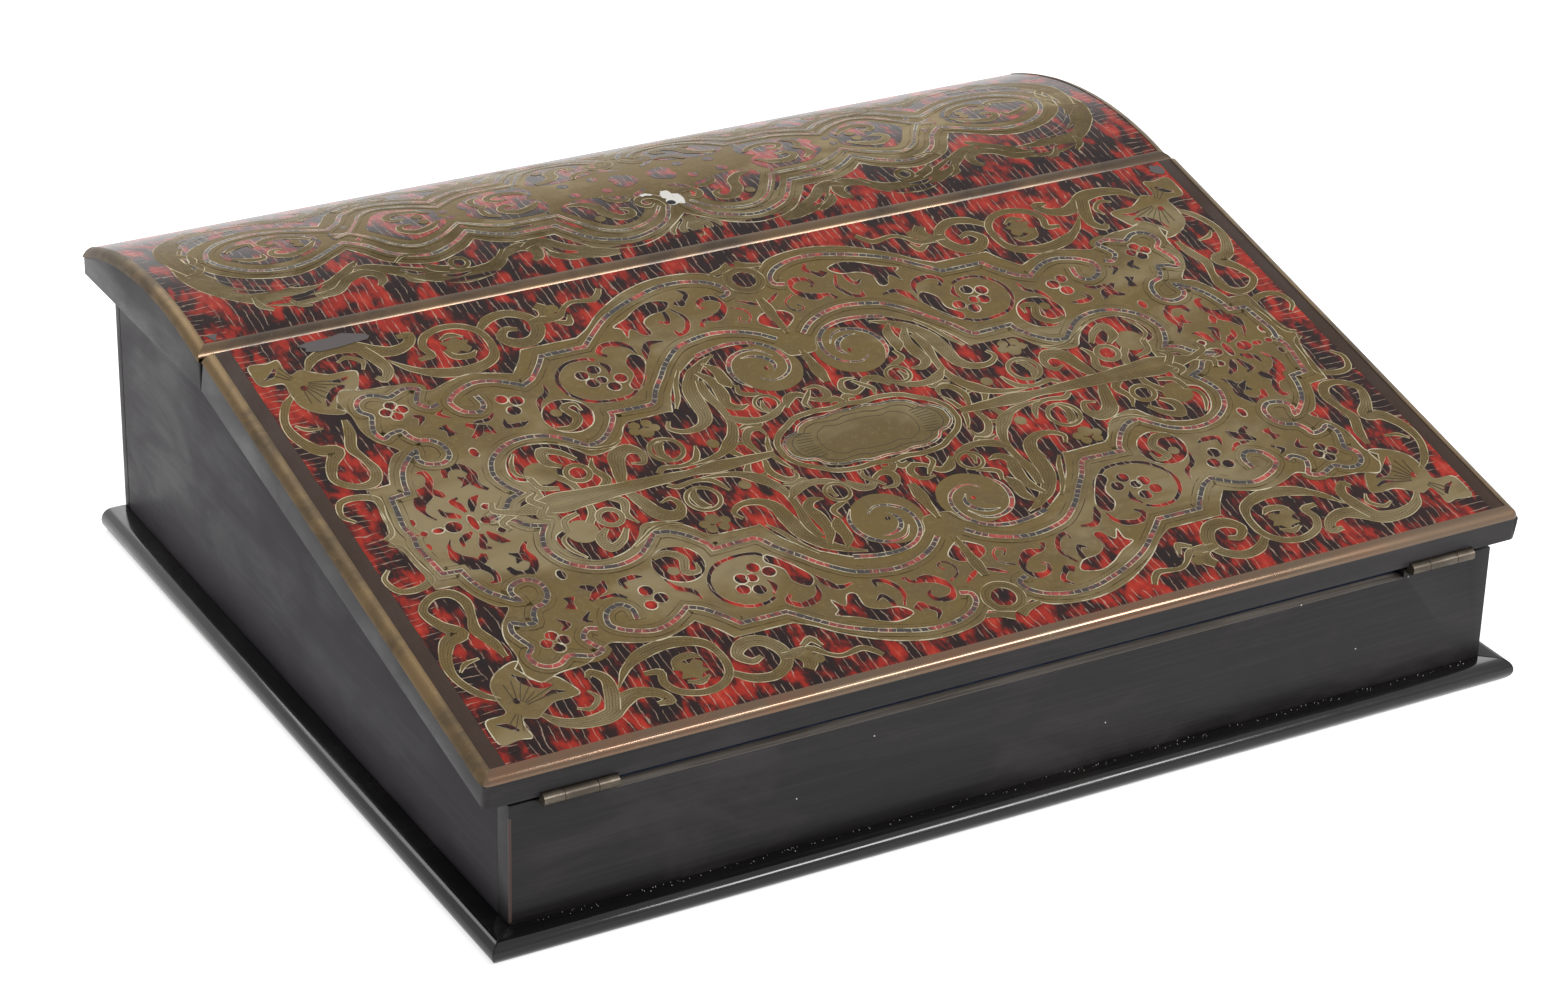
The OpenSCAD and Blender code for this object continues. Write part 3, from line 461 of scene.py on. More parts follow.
@dataclass(frozen=True)
class Velvet(Finish):
    """Cotton velvet with a crushed pile: deep blue, paler where the pile leans."""

    pale: str = "#3d5570"
    sheen: float = 0.4
    sheen_tint: str = "#7f95b4"

    def patterns(self, nodes: Nodes) -> dict[str, Value]:
        """The lie of the pile and its tufts."""
        pile = nodes.clouds((14, 9, 9), 5, 0.6, 0.8)
        lie = nodes.add(Kind.SMOOTH, pile, 0.45, 0.72, 0.0, 0.4)
        return {
            "Base Color": nodes.add(Kind.BLEND, lie, self.colour, self.pale),
            "Sheen Weight": self.sheen,
            "Sheen Tint": self.sheen_tint,
            "Normal": nodes.add(Kind.BUMP, nodes.clouds(0.9, 2), 0.25 * MM),
        }


@dataclass(frozen=True)
class BareWood(Finish):
    """Plain or stained wood with its grain along X."""

    pale: str = "#7a5b40"
    grain_mm: Triple = (70.0, 2.6, 2.6)

    def patterns(self, nodes: Nodes) -> dict[str, Value]:
        """Long grain."""
        grain = nodes.clouds(self.grain_mm, 6, 0.65, 0.6)
        pale = nodes.add(Kind.SMOOTH, grain, 0.35, 0.68)
        return {"Base Color": nodes.add(Kind.BLEND, pale, self.colour, self.pale),
                "Normal": nodes.add(Kind.BUMP, grain, 0.08 * MM)}


@dataclass(frozen=True)
class Glass(Finish):
    """Clear pressed glass, faintly green."""

    def patterns(self, nodes: Nodes) -> dict[str, Value]:
        """Let the light through."""
        return {"Transmission Weight": 1.0}


class Stock(Enum):
    """What a piece of the marquetry is cut from."""

    BRASS = "brass"
    STRAP = "strap"
    ENGRAVED = "engraved"
    SHELL = "shell"
    CHANNEL = "channel"
    LINE = "line"


FLAP_CORNERS = dict.fromkeys(("slope_board", "slope_bead_front", "slope_bead_left", "slope_bead_right"), 2.6)
RED_FOIL = "#8a2a24"
NO_LINES = (9.0,)  # an engraved line further in than any strap is wide
FINISHES: dict[str, Finish] = {
    "ebony": EbonisedWood("ebonised wood", "#161415", roughness=0.45, ior=1.32, coat=0.05, dust=0.2,
                          grain=0.07),
    # The sides get a paler copy of the ebonised wood: the paler base is painted light, and the heavier dust
    # clouds are dust.
    "ebony_side": EbonisedWood("ebonised wood of the sides, paler with painted light, dusty", "#2b282c", roughness=0.5, ior=1.24,
                               grain_mm=(1.2, 70.0, 1.6), dust=0.3, grain=0.12),
    "moulding": EbonisedWood("ebonised moulding", "#0c0b0b", roughness=0.15, coat=0.35, ior=1.32,
                             worn="#35302d", dust=0.12, grain=0.1, foot_mm=1.6),
    "strip": EbonisedWood("dark wood strip", "#33231a", roughness=0.6, ior=1.33, worn="#49362a",
                          grain_mm=(1.2, 60.0, 1.2), dust=0.05),
    "inner_wood": BareWood("stained inner wood", "#4a3020", roughness=0.5),
    "bare_wood": BareWood("bare worn wood", "#5a524b", roughness=0.75, pale="#8b837b"),
    "slope_shell": Tortoiseshell("tortoiseshell of the flap", RED_FOIL, roughness=0.3, ior=1.24,
                                 tilt=-SLOPE_TILT),
    "slope_inlay": Tortoiseshell("tortoiseshell let into brass", RED_FOIL, roughness=0.3, ior=1.24,
                                 tilt=-SLOPE_TILT, inlaid=True),
    "dome_inlay": Tortoiseshell("tortoiseshell let into the dome", RED_FOIL, roughness=0.24, ior=1.25,
                                inlaid=True),
    "dome_shell": Tortoiseshell("tortoiseshell of the dome", RED_FOIL, roughness=0.24, ior=1.25,
                                margin_mm=176),
    "channel": ShellChannel("shell channel", "#6e2620", roughness=0.4, coat=0.05),
    "slope_brass": EngravedBrass("engraved sheet brass", "#6b5a37", roughness=0.42, metallic=0.6,
                                 tint="#d9c9a9", tilt=-SLOPE_TILT),
    "dome_brass": EngravedBrass("engraved sheet brass of the dome", "#504224", roughness=0.24, metallic=0.6,
                                tint="#c6b8a2"),
    "dome_strap": EngravedBrass("brass strapwork of the dome", "#524426", roughness=0.24, metallic=0.6,
                                tint="#c6b8a2", edge="#463b2b", lines_mm=NO_LINES),
    "brass_line": CutEdge("bright cut edge of brass", "#7f7152", roughness=0.5, metallic=0.3),
    "plate_brass": EngravedBrass("brass cartouche plate", "#625436", roughness=0.45, metallic=0.6,
                                 tint="#d9c9a9", tilt=-SLOPE_TILT, mapped=False),
    "strap_brass": EngravedBrass("brass strapwork with engraved borders", "#695837", roughness=0.42,
                                 metallic=0.6, tint="#d9c9a9", tilt=-SLOPE_TILT, edge="#463b27",
                                 lines_mm=NO_LINES),
    "engraved_line": Finish("engraved line filled with grime", "#3a301f", roughness=0.7, metallic=0.2),
    # The front bead and the dome bead carry painted shade towards their right ends, where their highlights
    # fade.
    "bead": CastBrass("brass bead with a brown skin", "#6b4b33", roughness=0.16, metallic=0.7, coat=0.6,
                      painted_shade_from_mm=(90.0, 150.0)),
    "dome_bead": CastBrass("brass bead of the dome", "#655039", roughness=0.27, metallic=0.7, coat=0.3,
                           dark="#43362a", painted_shade_from_mm=(120.0, 180.0)),
    "side_bead": CastBrass("brass bead, dull at the sides", "#6b5637", roughness=0.4, metallic=0.6,
                           dark="#4b3d29"),
    "worn_arris": Finish("red wood rubbed bare", "#38251f", roughness=0.6),
    "edge_fleck": Finish("pale line of bare priming", "#635d57", roughness=0.8),
    "dull_brass": CastBrass("tarnished brass", "#6e6558", roughness=0.32, metallic=0.6, dark="#453d33"),
    "bright_brass": CastBrass("lacquered brass", "#a8894f", roughness=0.28, metallic=0.9, dark="#7a6038"),
    "steel": Finish("filed steel", "#8a867e", roughness=0.4, metallic=1.0),
    "velvet": Velvet("blue velvet", "#14233c", roughness=0.95),
    "glass": Glass("clear glass", "#dfeeea", roughness=0.04, ior=1.52),
    "gesso": Finish("chipped gesso", "#d5d2cc", roughness=0.8),
    "filler": Finish("grey filler", "#4f4948", roughness=0.7),
    # Painted shade: a near-black sheet stands for the shadowed opening of the keyhole.
    "hole": Finish("painted shade of the keyhole", "#0b0a0a", roughness=0.9),
}


@cache
def material_of(finish: str) -> bpy.types.Material:
    """The material of the named finish, made when it is first asked for."""
    return FINISHES[finish].build()


def shown(name: str, bm: Mesh, finish: str, body: str, slot: str = "") -> Piece:
    """Put a finished mesh in the scene.

    Args:
        name: the piece's name.
        bm: its mesh in the row frame, which this call uses up.
        finish: the name of its finish.
        body: the CAD body that it moves with.
        slot: the record's material slot, if the piece has one; not used.

    Returns:
        The new object.
    """
    mesh = bpy.data.meshes.new(name)
    bm.to_mesh(mesh)
    bm.free()
    mesh.materials.append(material_of(finish))
    piece = bpy.data.objects.new(name, mesh)
    bpy.context.scene.collection.objects.link(piece)
    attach(piece, body)
    return piece


def face_out(bm: Mesh) -> None:
    """Turn the faces of a flat sheet outwards."""
    bmesh.ops.recalc_face_normals(bm, faces=bm.faces)
    bmesh.ops.reverse_faces(bm, faces=[f for f in bm.faces if f.normal.z < 0])


def triangulate(bm: Mesh, faces: list[bmesh.types.BMFace]) -> None:
    """Cut faces with many corners into triangles."""
    bmesh.ops.triangulate(bm, faces=faces, quad_method="BEAUTY", ngon_method="EAR_CLIP")


def thicken(bm: Mesh) -> None:
    """Give a flat sheet its thickness, on the side away from its normals."""
    bmesh.ops.solidify(bm, geom=bm.faces[:], thickness=SHEET_MM * MM)


@dataclass
class SoftenedNode:
    """A CAD piece copied, joined up and given worn arrises."""

    node: str
    body: str
    finish: str
    slot: str
    worn_mm: float = 0.0
    corner_mm: float = 0.0
    join_mm: float = 0.004
    flat_angle: float = 0.6
    smooth_angle: float = 32.0

    def build(self, frame: dict) -> Piece:
        """Copy the CAD mesh, join it, round its arrises and shade it.


        Returns:
            The object that stands for the CAD node.
        """
        bm = bmesh.new()
        bm.from_mesh(frame["nodes"][self.node].data)
        bmesh.ops.remove_doubles(bm, verts=bm.verts, dist=self.join_mm * MM)
        bmesh.ops.dissolve_limit(bm, angle_limit=math.radians(self.flat_angle), verts=bm.verts,
                                 edges=bm.edges)
        limit = math.radians(self.smooth_angle)
        sharp = [e for e in bm.edges if len(e.link_faces) == 2 and e.calc_face_angle(0.0) > limit]
        if self.worn_mm:
            bmesh.ops.bevel(bm, geom=sharp, offset=self.worn_mm * MM, offset_type="OFFSET", segments=3,
                            profile=0.5, affect="EDGES", clamp_overlap=True, material=-1)
        if self.corner_mm:
            self.round_corners(bm)
        for face in bm.faces:
            face.smooth = True
        for edge in bm.edges:
            edge.smooth = len(edge.link_faces) == 2 and edge.calc_face_angle(0.0) < limit
        piece = shown(self.node + "_worn", bm, self.finish, self.body, self.slot)
        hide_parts(self.node)
        return piece

    def round_corners(self, bm: Mesh) -> None:
        """Wear the flap's two front corners round, in the plane of the slope."""
        up = Vector((0, math.cos(math.radians(SLOPE_TILT)), math.sin(math.radians(SLOPE_TILT))))
        reach, low = max(abs(v.co.x) for v in bm.verts), min(v.co.dot(up) for v in bm.verts)
        radius = self.corner_mm * MM
        for share in (0.25, 0.5, 0.75, 1.0):
            planes = [(Vector((side * (reach - radius * share), 0, 0)), Vector((1, 0, 0)))
                      for side in (-1, 1)]
            planes.append((up * (low + radius * share), up))
            for place, normal in planes:
                bmesh.ops.bisect_plane(bm, geom=[*bm.verts, *bm.edges, *bm.faces], plane_co=place,
                                       plane_no=normal, dist=1e-7)
        for vert in bm.verts:
            out = Vector((abs(vert.co.x) - reach + radius, low + radius - vert.co.dot(up)))
            if min(out) > 0:
                pulled = out * (max(out) / out.length)
                vert.co.x -= math.copysign(out.x - pulled.x, vert.co.x)
                vert.co += up * (out.y - pulled.y)


@dataclass(frozen=True)
class PathPoint:
    """One point of a drawn path, with the strip's width there."""

    place: Vector
    width: float
    corner: bool


def read_path(words: str) -> list[PathPoint]:
    """Read a path written as points "x y", "x y width" or either with "c" for a sharp corner.

    Args:
        words: the points, with commas between them, in millimetres.

    Returns:
        The points in order.
    """
    points = []
    for chunk in words.split(","):
        parts = chunk.split()
        corner = parts[-1] == "c"
        numbers = [float(p) for p in parts if p != "c"]
        width = numbers[2] if len(numbers) > 2 else 0.0
        points.append(PathPoint(Vector(numbers[:2]), width, corner))
    return points


def smooth_run(points: list[PathPoint], step: float, closed: bool) -> list[PathPoint]:
    """Points close together on a smooth curve through the given ones, sharp at the corners.

    Args:
        points: the drawn points.
        step: the greatest distance between the new points.
        closed: whether the curve returns to its start.

    Returns:
        The new points.
    """
    count = len(points)
    spans = count if closed else count - 1
    run: list[PathPoint] = []
    for i in range(spans):
        here, there = points[i], points[(i + 1) % count]
        before = points[i - 1] if (closed or i > 0) and not here.corner else None
        after = points[(i + 2) % count] if (closed or i + 2 < count) and not there.corner else None
        chord = there.place - here.place
        into = (there.place - before.place) / 2 if before else chord
        out = (after.place - here.place) / 2 if after else chord
        into = into.normalized() * min(into.length, chord.length * 1.2)
        out = out.normalized() * min(out.length, chord.length * 1.2)
        parts = max(1, math.ceil(chord.length / step))
        for k in range(parts):
            t = k / parts
            place = (
                here.place * (2 * t ** 3 - 3 * t ** 2 + 1) + into * (t ** 3 - 2 * t ** 2 + t)
                + there.place * (3 * t ** 2 - 2 * t ** 3) + out * (t ** 3 - t ** 2)
            )
            width = here.width + (there.width - here.width) * (3 * t ** 2 - 2 * t ** 3)
            run.append(PathPoint(place, width, here.corner and k == 0))
    if not closed:
        run.append(points[-1])
    return run


@dataclass(frozen=True)
class SlopeFace:
    """The flat shell face of the flap: x across, y from the middle line towards the front."""

    front_z: float = 62.3
    front_y: float = FRONT_Y
    tilt: float = SLOPE_TILT
    middle: float = 104.5

    def place(self, x: float, y: float, lift: float) -> Vector:
        """A point of the row frame in metres, lift millimetres above the shell."""
        up = self.middle - y
        c, s = math.cos(math.radians(self.tilt)), math.sin(math.radians(self.tilt))
        return Vector((x, self.front_y + up * c - lift * s, self.front_z + up * s + lift * c)) * MM


@dataclass(frozen=True)
class DomeFace:
    """The curved shell face of the dome lid: x across, y along the arc from its middle line to the front."""

    radius: float = 152.0
    crown_y: float = 100.55
    centre_z: float = -34.8
    front_y: float = 53.65
    middle: float = 53.9

    def place(self, x: float, y: float, lift: float) -> Vector:
        """A point of the row frame in metres, lift millimetres above the shell."""
        start = math.asin((self.front_y - self.crown_y) / self.radius)
        turn = start + (self.middle - y) / self.radius
        r = self.radius + lift
        return Vector((x, self.crown_y + r * math.sin(turn), self.centre_z + r * math.cos(turn))) * MM


class Copies(Enum):
    """Which mirrored copies of a drawn piece are laid, by the signs of x and y."""

    FOUR = ((1, 1), (-1, 1), (1, -1), (-1, -1))
    LEFT_RIGHT = ((1, 1), (-1, 1))
    FRONT_BACK = ((1, 1), (1, -1))


@dataclass(frozen=True)
class Cut:
    """One piece sawn from the sheet: a band along a path, or a filled outline."""

    path: str
    filled: bool = False
    width: float = 0.0
    closed: bool = False
    copies: Copies = Copies.FOUR
    step: float = 1.3

    def points(self) -> list[PathPoint]:
        """The piece's path, smoothed."""
        drawn = read_path(self.path)
        return smooth_run(drawn, self.step, self.closed or self.filled)


def oval(x: float, y: float, rx: float, ry: float) -> str:
    """The path of an oval, by eight points."""
    turns = [k * math.pi / 4 for k in range(8)]
    return ", ".join(f"{x + rx * math.cos(a):.2f} {y + ry * math.sin(a):.2f}" for a in turns)


def disc(x: float, y: float, r: float, ry: float = 0.0, copies: Copies = Copies.FOUR) -> Cut:
    """A round piece, or an oval one where ry is given."""
    return Cut(oval(x, y, r, ry or r), filled=True, copies=copies)


def ring(x: float, y: float, r: float, w: float, copies: Copies = Copies.FOUR) -> Cut:
    """A round band, w wide, whose outer radius is r."""
    return Cut(oval(x, y, r - w / 2, r - w / 2), width=w, closed=True, copies=copies)


def band(path: str, width: float = 0.0, copies: Copies = Copies.FOUR) -> Cut:
    """A band of the given width, or of the widths in its path."""
    return Cut(path, width=width, copies=copies)


def shape(path: str) -> Cut:
    """A filled outline."""
    return Cut(path, filled=True)


def edge_of(cut: Cut, width: float = 0.42) -> Cut:
    """A thin line along a filled piece's outline."""
    return Cut(cut.path, width=width, closed=True, copies=cut.copies)


@dataclass
class Layer:
    """Pieces of one stock at one height."""

    name: str
    stock: Stock
    level: int
    cuts: list[Cut]


@dataclass
class Marquetry:
    """The cut brass and shell on one face."""

    name: str
    body: str
    face: SlopeFace | DomeFace
    finishes: dict[Stock, str]
    layers: list[Layer]
    slot: str = "tortoiseshell_and_brass"
    slice_mm: float = 0.0
    tiers: int = 31
    tier_mm: float = 0.0012
    sharpest_mitre: float = 2.2
    least_half_mm: float = 0.06
    far_inside_mm: float = 6.0

    def build(self) -> list[Piece]:
        """Lay every layer and return its objects."""
        return [self.lay(layer) for layer in self.layers]

    def lay(self, layer: Layer) -> Piece:
        """Cut one layer out, bend it onto the face and give it thickness.

        Args:
            layer: the pieces of this height.

        Returns:
            The layer's object.
        """
        bm = bmesh.new()
        uv = bm.loops.layers.uv.new("UVMap")
        copies = [(cut, sx, sy) for cut in layer.cuts for sx, sy in cut.copies.value]
        for place, (cut, sx, sy) in enumerate(copies):
            lift = LEVEL_MM * layer.level + place % self.tiers * self.tier_mm
            lay = self.fill if cut.filled else self.strip
            lay(bm, uv, cut, Vector((sx, sy, lift)))
        for vert in bm.verts:
            vert.co = self.face.place(*vert.co)
        face_out(bm)
        thicken(bm)
        return shown(f"{self.name}_{layer.name}", bm, self.finishes[layer.stock], self.body, self.slot)

    def strip(self, bm: Mesh, uv: bmesh.types.BMLayerItem, cut: Cut, side_and_lift: Vector) -> None:
        """Lay a band, three points wide, along the cut's path.

        Args:
            bm: the layer's mesh, still flat.
            uv: its map, which takes the length along the band and the distance to its edge.
            cut: the band.
            side_and_lift: the signs of x and y, 1 or -1, and the height above the shell in millimetres.
        """
        sx, sy, lift = side_and_lift
        run = cut.points()
        ways = [(there.place - here.place).normalized() for here, there in zip(run, run[1:] + run[:1])]
        left_to_right = []
        travelled = 0.0
        for i, point in enumerate(run):
            first = ways[i - 1] if cut.closed or i else ways[0]
            second = ways[i] if cut.closed or i + 1 < len(run) else ways[i - 1]
            square = Vector((-first.y, first.x))
            side = Vector((-first.y - second.y, first.x + second.x))
            side = side.normalized() if side.length > 1e-6 else square
            mitre = 1 / max(1 / self.sharpest_mitre, side.dot(square))
            half = max(self.least_half_mm, (cut.width or point.width) / 2)
            if i:
                travelled += (point.place - run[i - 1].place).length
            row = []
            for share in (-1, 0, 1):
                flat = point.place + side * (share * half * mitre)
                vert = bm.verts.new((flat.x * sx, flat.y * sy, lift))
                row.append((vert, (travelled, 0.0 if share else half)))
            left_to_right.append(row)
        pairs = list(zip(left_to_right, left_to_right[1:]))
        if cut.closed:
            pairs.append((left_to_right[-1], left_to_right[0]))
        for near, far in pairs:
            for k in (0, 1):
                corners = [near[k], near[k + 1], far[k + 1], far[k]]
                face = bm.faces.new([c[0] for c in corners])
                for loop, corner in zip(face.loops, corners):
                    loop[uv].uv = corner[1]

    def fill(self, bm: Mesh, uv: bmesh.types.BMLayerItem, cut: Cut, side_and_lift: Vector) -> None:
        """Lay a filled outline, sliced where the face is curved.

        Args:
            bm: the layer's mesh, still flat.
            uv: its map, which says that the piece's edge is far away.
            cut: the outline.
            side_and_lift: the signs of x and y, 1 or -1, and the height above the shell in millimetres.
        """
        sx, sy, lift = side_and_lift
        verts = [bm.verts.new((p.place.x * sx, p.place.y * sy, lift)) for p in cut.points()]
        face = bm.faces.new(verts)
        face.normal_update()
        geom = [face, *face.verts, *face.edges]
        if self.slice_mm:
            low, high = min(v.co.y for v in verts), max(v.co.y for v in verts)
            steps = math.ceil((high - low) / self.slice_mm)
            for k in range(1, steps):
                place = Vector((0, low + (high - low) * k / steps, 0))
                done = bmesh.ops.bisect_plane(bm, geom=geom, plane_co=place, plane_no=(0, 1, 0), dist=1e-5)
                geom = done["geom"]
        faces = [g for g in geom if isinstance(g, bmesh.types.BMFace)]
        for flat in faces:
            for loop in flat.loops:
                loop[uv].uv = (0.0, self.far_inside_mm)
        triangulate(bm, faces)


CARTOUCHE_EDGE = "31 0 c, 30.6 3.3, 27.8 7.3, 22.6 10.5, 18.5 12.8, 12 13.9, 6 13.5"
CARTOUCHE_BACK = ", ".join(reversed(CARTOUCHE_EDGE.split(", ")))
FIELD_EDGE = (
    "0 93 c, 5 92, 8 91 c, 13 95, 22 97, 32 96.8, 42 94, 50 90, 58 84.5, 64 79, 69.5 75.5 c, 90 75.5 c, "
    "93 70.5, 98 64.5 c, 104 67, 112 69, 120 67.5, 127 65, 131 67, 138 71, 148 72, 155 74, 160 66 c, 157 62, "
    "157 53, 155 47, 150 41, 149.5 39.5 c, 153 38, 157 32, 159.5 25.5 c, 167 25 c, 167.5 18, 168 10, 170 3, "
    "171 0 c"
)
INNER_EDGE = (
    "116 0 c, 116 12 c, 121 14.5, 121.5 20, 118.5 26, 113 29.3, 106 29, 100 26.5, 95.5 22, 93 18.5, 89 18, "
    "84 19.5, 79 23.5, 76 28, 73.5 30 c, 58 30.5 c, 57 30, 54 37, 50 43, 46 47, 42 50, 36 54, 28 56.5, "
    "20 56.8, 13 54.5, 7.5 50, 5.5 45, 3 44, 0 44 c"
)
OUTER_CHANNEL = (
    "12.5 80.5, 9 82, 9.5 86, 14 90, 22 92.5, 31 92.3, 40 89.7, 48 86.5, 56 82, 63 76, 69 70.3 c, 85 70.3 c, "
    "88 66, 93 60.5, 97.5 58 c, 101 60.5, 106 63.3, 112 64.3, 118 62.5, 122 60, 124 57, 122 52, 117 50, "
    "114 53, 114.5 58"
)
STRAP_CHANNEL = (
    "163 0, 164 5, 163 12, 162 19 c, 156 19.7 c, 155 25, 152.5 31, 148 36, 145 38, 146 34, 144 31, 139 30, "
    "135.5 33, 135.5 38, 138 41.5, 142 43, 144 46, 145 49, 149 48.5, 152 47, 153.5 51, 152 56, 151 59, "
    "153.5 62, 153 66, 150 68.5, 146 68.5, 142 66, 139 67, 135 68.5, 131 67, 133 63.5, 134 60, 131 57, 128 58"
)
INNER_CHANNEL = (
    "137 0, 134 1, 130 3, 127 6.5, 122 8.5 c, 125 13, 126.5 19, 124 26, 118 31, 112 33, 106 33, 100 31, "
    "95 27, 91 23 c, 86 24, 81 28, 77 33.5, 76.5 36 c, 62 35.5 c, 60 37, 57 42, 52 48, 47 54, 40 60, "
    "33 62.5, 25 63.5, 17 62, 10 58.5, 5 54"
)


@dataclass
class FlapPattern:
    """The marquetry of the flap, drawn once for a quarter and laid four times."""

    def build(self) -> list[Piece]:
        """Lay the brass field, the shell set into it and the leaves over that."""
        finishes = {Stock.BRASS: "slope_brass", Stock.SHELL: "slope_inlay", Stock.CHANNEL: "channel",
                    Stock.LINE: "brass_line", Stock.STRAP: "strap_brass", Stock.ENGRAVED: "engraved_line"}
        channels = (OUTER_CHANNEL, STRAP_CHANNEL, INNER_CHANNEL)
        layers = [
            Layer("brass_field", Stock.BRASS, 1, [shape(self.closed_field())]),
            Layer("border_leaves", Stock.BRASS, 1, self.border()),
            Layer("shell_grounds", Stock.SHELL, 2, [shape(self.closed_inner()), *self.openings()]),
            Layer("ground_edges", Stock.LINE, 3, [edge_of(cut) for cut in self.openings() if cut.filled]),
            Layer("straps", Stock.STRAP, 3, [band(path, 5.8) for path in channels]),
            Layer("channels", Stock.CHANNEL, 4, [band(path, 2.1) for path in channels]),
            Layer("plate_engraving", Stock.ENGRAVED, 3, self.plate_lines()),
            Layer("corner_edges", Stock.LINE, 2, [edge_of(self.border()[0], 0.4)]),
            Layer("corner_openings", Stock.SHELL, 2, self.corner_openings()),
            Layer("cut_edges", Stock.LINE, 4, [band(FIELD_EDGE, 0.4), band(INNER_EDGE, 0.4)]),
            Layer("leaves", Stock.BRASS, 4, self.leaves()),
            Layer("leaf_channels", Stock.CHANNEL, 5, self.leaf_channels()),
            Layer("middle_fleurons", Stock.BRASS, 5, self.axis_pieces()),
            Layer("rosettes", Stock.SHELL, 6, [disc(0, 87, 4, copies=Copies.FRONT_BACK), disc(16, 41, 0.9)]),
            Layer("plate_rim", Stock.BRASS, 1, [shape(
                "0 0 c, 0 12.5 c, 6 12.9, 10 12, 16 12, 21 10, 23.5 7, 27 6, 30 3, 30.4 0 c")]),
        ]
        return Marquetry("flap", "slope_flap", SlopeFace(), finishes, layers).build()

    def closed_field(self) -> str:
        """The field's outline in one quarter, round the cartouche."""
        return f"0 14.3 c, {FIELD_EDGE}, {CARTOUCHE_EDGE}"

    def closed_inner(self) -> str:
        """The outline of the inner shell ground in one quarter, round the cartouche."""
        return f"0 14.3 c, {CARTOUCHE_BACK}, {INNER_EDGE}"

    def plate_lines(self) -> list[Cut]:
        """A plain engraved border and rayed ends on the bare cartouche plate."""
        rays = [band(f"{20 - 0.35 * k:.1f} {0.6 + 1.25 * k:.2f}, {26 - 0.6 * k:.1f} {0.6 + 1.5 * k:.2f}",
                     0.22) for k in range(5)]
        return [
            band("27.6 0, 27 3, 24.4 5.4, 21 6.2, 19 8.6, 15 9.9, 11 9.4, 7 9.4, 4 10.3, 0 10.4", 0.3),
            band("18 0, 17.4 3.6, 15 6.2, 12 7.4, 8 6.6, 4 7.4, 0 7.6", 0.22), *rays,
            *(band(f"{166 - 3 * math.cos(a):.1f} {82 - 3 * math.sin(a):.1f}, "
                   f"{166 - reach * math.cos(a):.1f} {82 - reach * math.sin(a):.1f}", 0.25)
              for a, reach in ((0.2, 14), (0.4, 15), (0.6, 9), (0.85, 10), (1.1, 12), (1.35, 12), (1.6, 11),
                               (3.9, 9), (4.15, 10), (4.4, 10))),
        ]

    def leaves(self) -> list[Cut]:
        """Acanthus, rings and scrolls inside the strapwork."""
        return [
            disc(16, 41, 12.4),
            band("60.5 26 1.5, 62 22.5 2, 58 19.5 2.5, 52 20 3.5, 48 24 5, 47 31 6, 46 38 6, 42 45 5, "
                 "36 50 3, 30 53 1"),
            band("64 3.5 1, 58 4 2, 52 5.5 3, 47 9 5, 43 14 4, 41 20 3, 41 27 3, 42 35 4, 41 42 3"),
            disc(52, 11, 2.2), band("40 46 2, 37 40 4, 37 33 5, 38 28 4, 35 25 3, 31 25.5 1"),
            band("36 50 1, 33 45 4, 33 39 5, 31.5 35.5 2"),
            band("41 22 2, 37 18.5 4, 31 17 3, 25 18.5 3, 20 22 2"), ring(25, 24, 5, 1.6),
            band("25 19 1, 27 22 2.5, 26 26 1"),
            band("20 20 2, 17 24 4, 13 25 3, 9 21 2, 5 20 3, 3 23 3, 5 27 2, 10 27 1"), disc(112, 15, 5.5),
            band("108 12 3, 105 8 3, 104 3 2.5"), band("116.5 14 2.6, 115 8.5 2.6, 109.5 6.5 2"),
            ring(100.5, 11.5, 5, 2.2), band("104 16 2, 108 20 4, 107 25 4, 102 23 3, 98 18 2"),
            band("90 1 3, 87.5 8 5, 85 15 6, 80 17.5 5, 76.5 14 3, 78 9.5 2, 82 10.5 1"),
            band("93 17 1, 95 12 2.6, 93 6 3.4, 97 2 3"), ring(68, 13, 6.5, 1.8),
            band("68 7 1, 70.5 11 3, 69.5 15.5 3.4, 67 17 1"), disc(70, 23, 2.6), disc(66.4, 24.5, 1.9),
            disc(73.6, 24.5, 1.9), disc(68, 27.3, 1.9), disc(72.3, 27.3, 1.9),
            band("58 12 1, 59.5 8 2.4, 62 5 2.6, 67 4 2, 73 5 2.4, 76 3 2"),
            band("46 2 2, 48 6 3, 45 9 2.5, 41 7 1"), band("40 2 2, 41 8 3, 38 13 3, 34 13 2, 33 9.5 1"),
            band("33 9 1, 35 5 2, 36 1.5 2.4"), band("31 17 1, 33 14.5 2, 36.5 16 2, 40 15 1.4"),
            band("12 17 1, 13 20 2.2, 10 23.5 2, 8 26 1.2"),
            band("97 34 2, 92 33 3, 88 37 3.5, 90 43 3, 86 44 2, 85 40 1"), disc(93.5, 41.5, 2),
            band("24 29 1, 28 30 2.4, 31 32 2.4, 30 36 1.6"),
            band("45 49 1.4, 49 43 2, 52 36 2.2, 55 31 1.2"),
            band("116 27 1, 119 22 1.8, 119.5 17 1.8, 116 14 1"),
            band("80 22 1, 84 20.5 1.6, 90 21 1.6, 95 24 1.4, 100 27 1"),
        ]

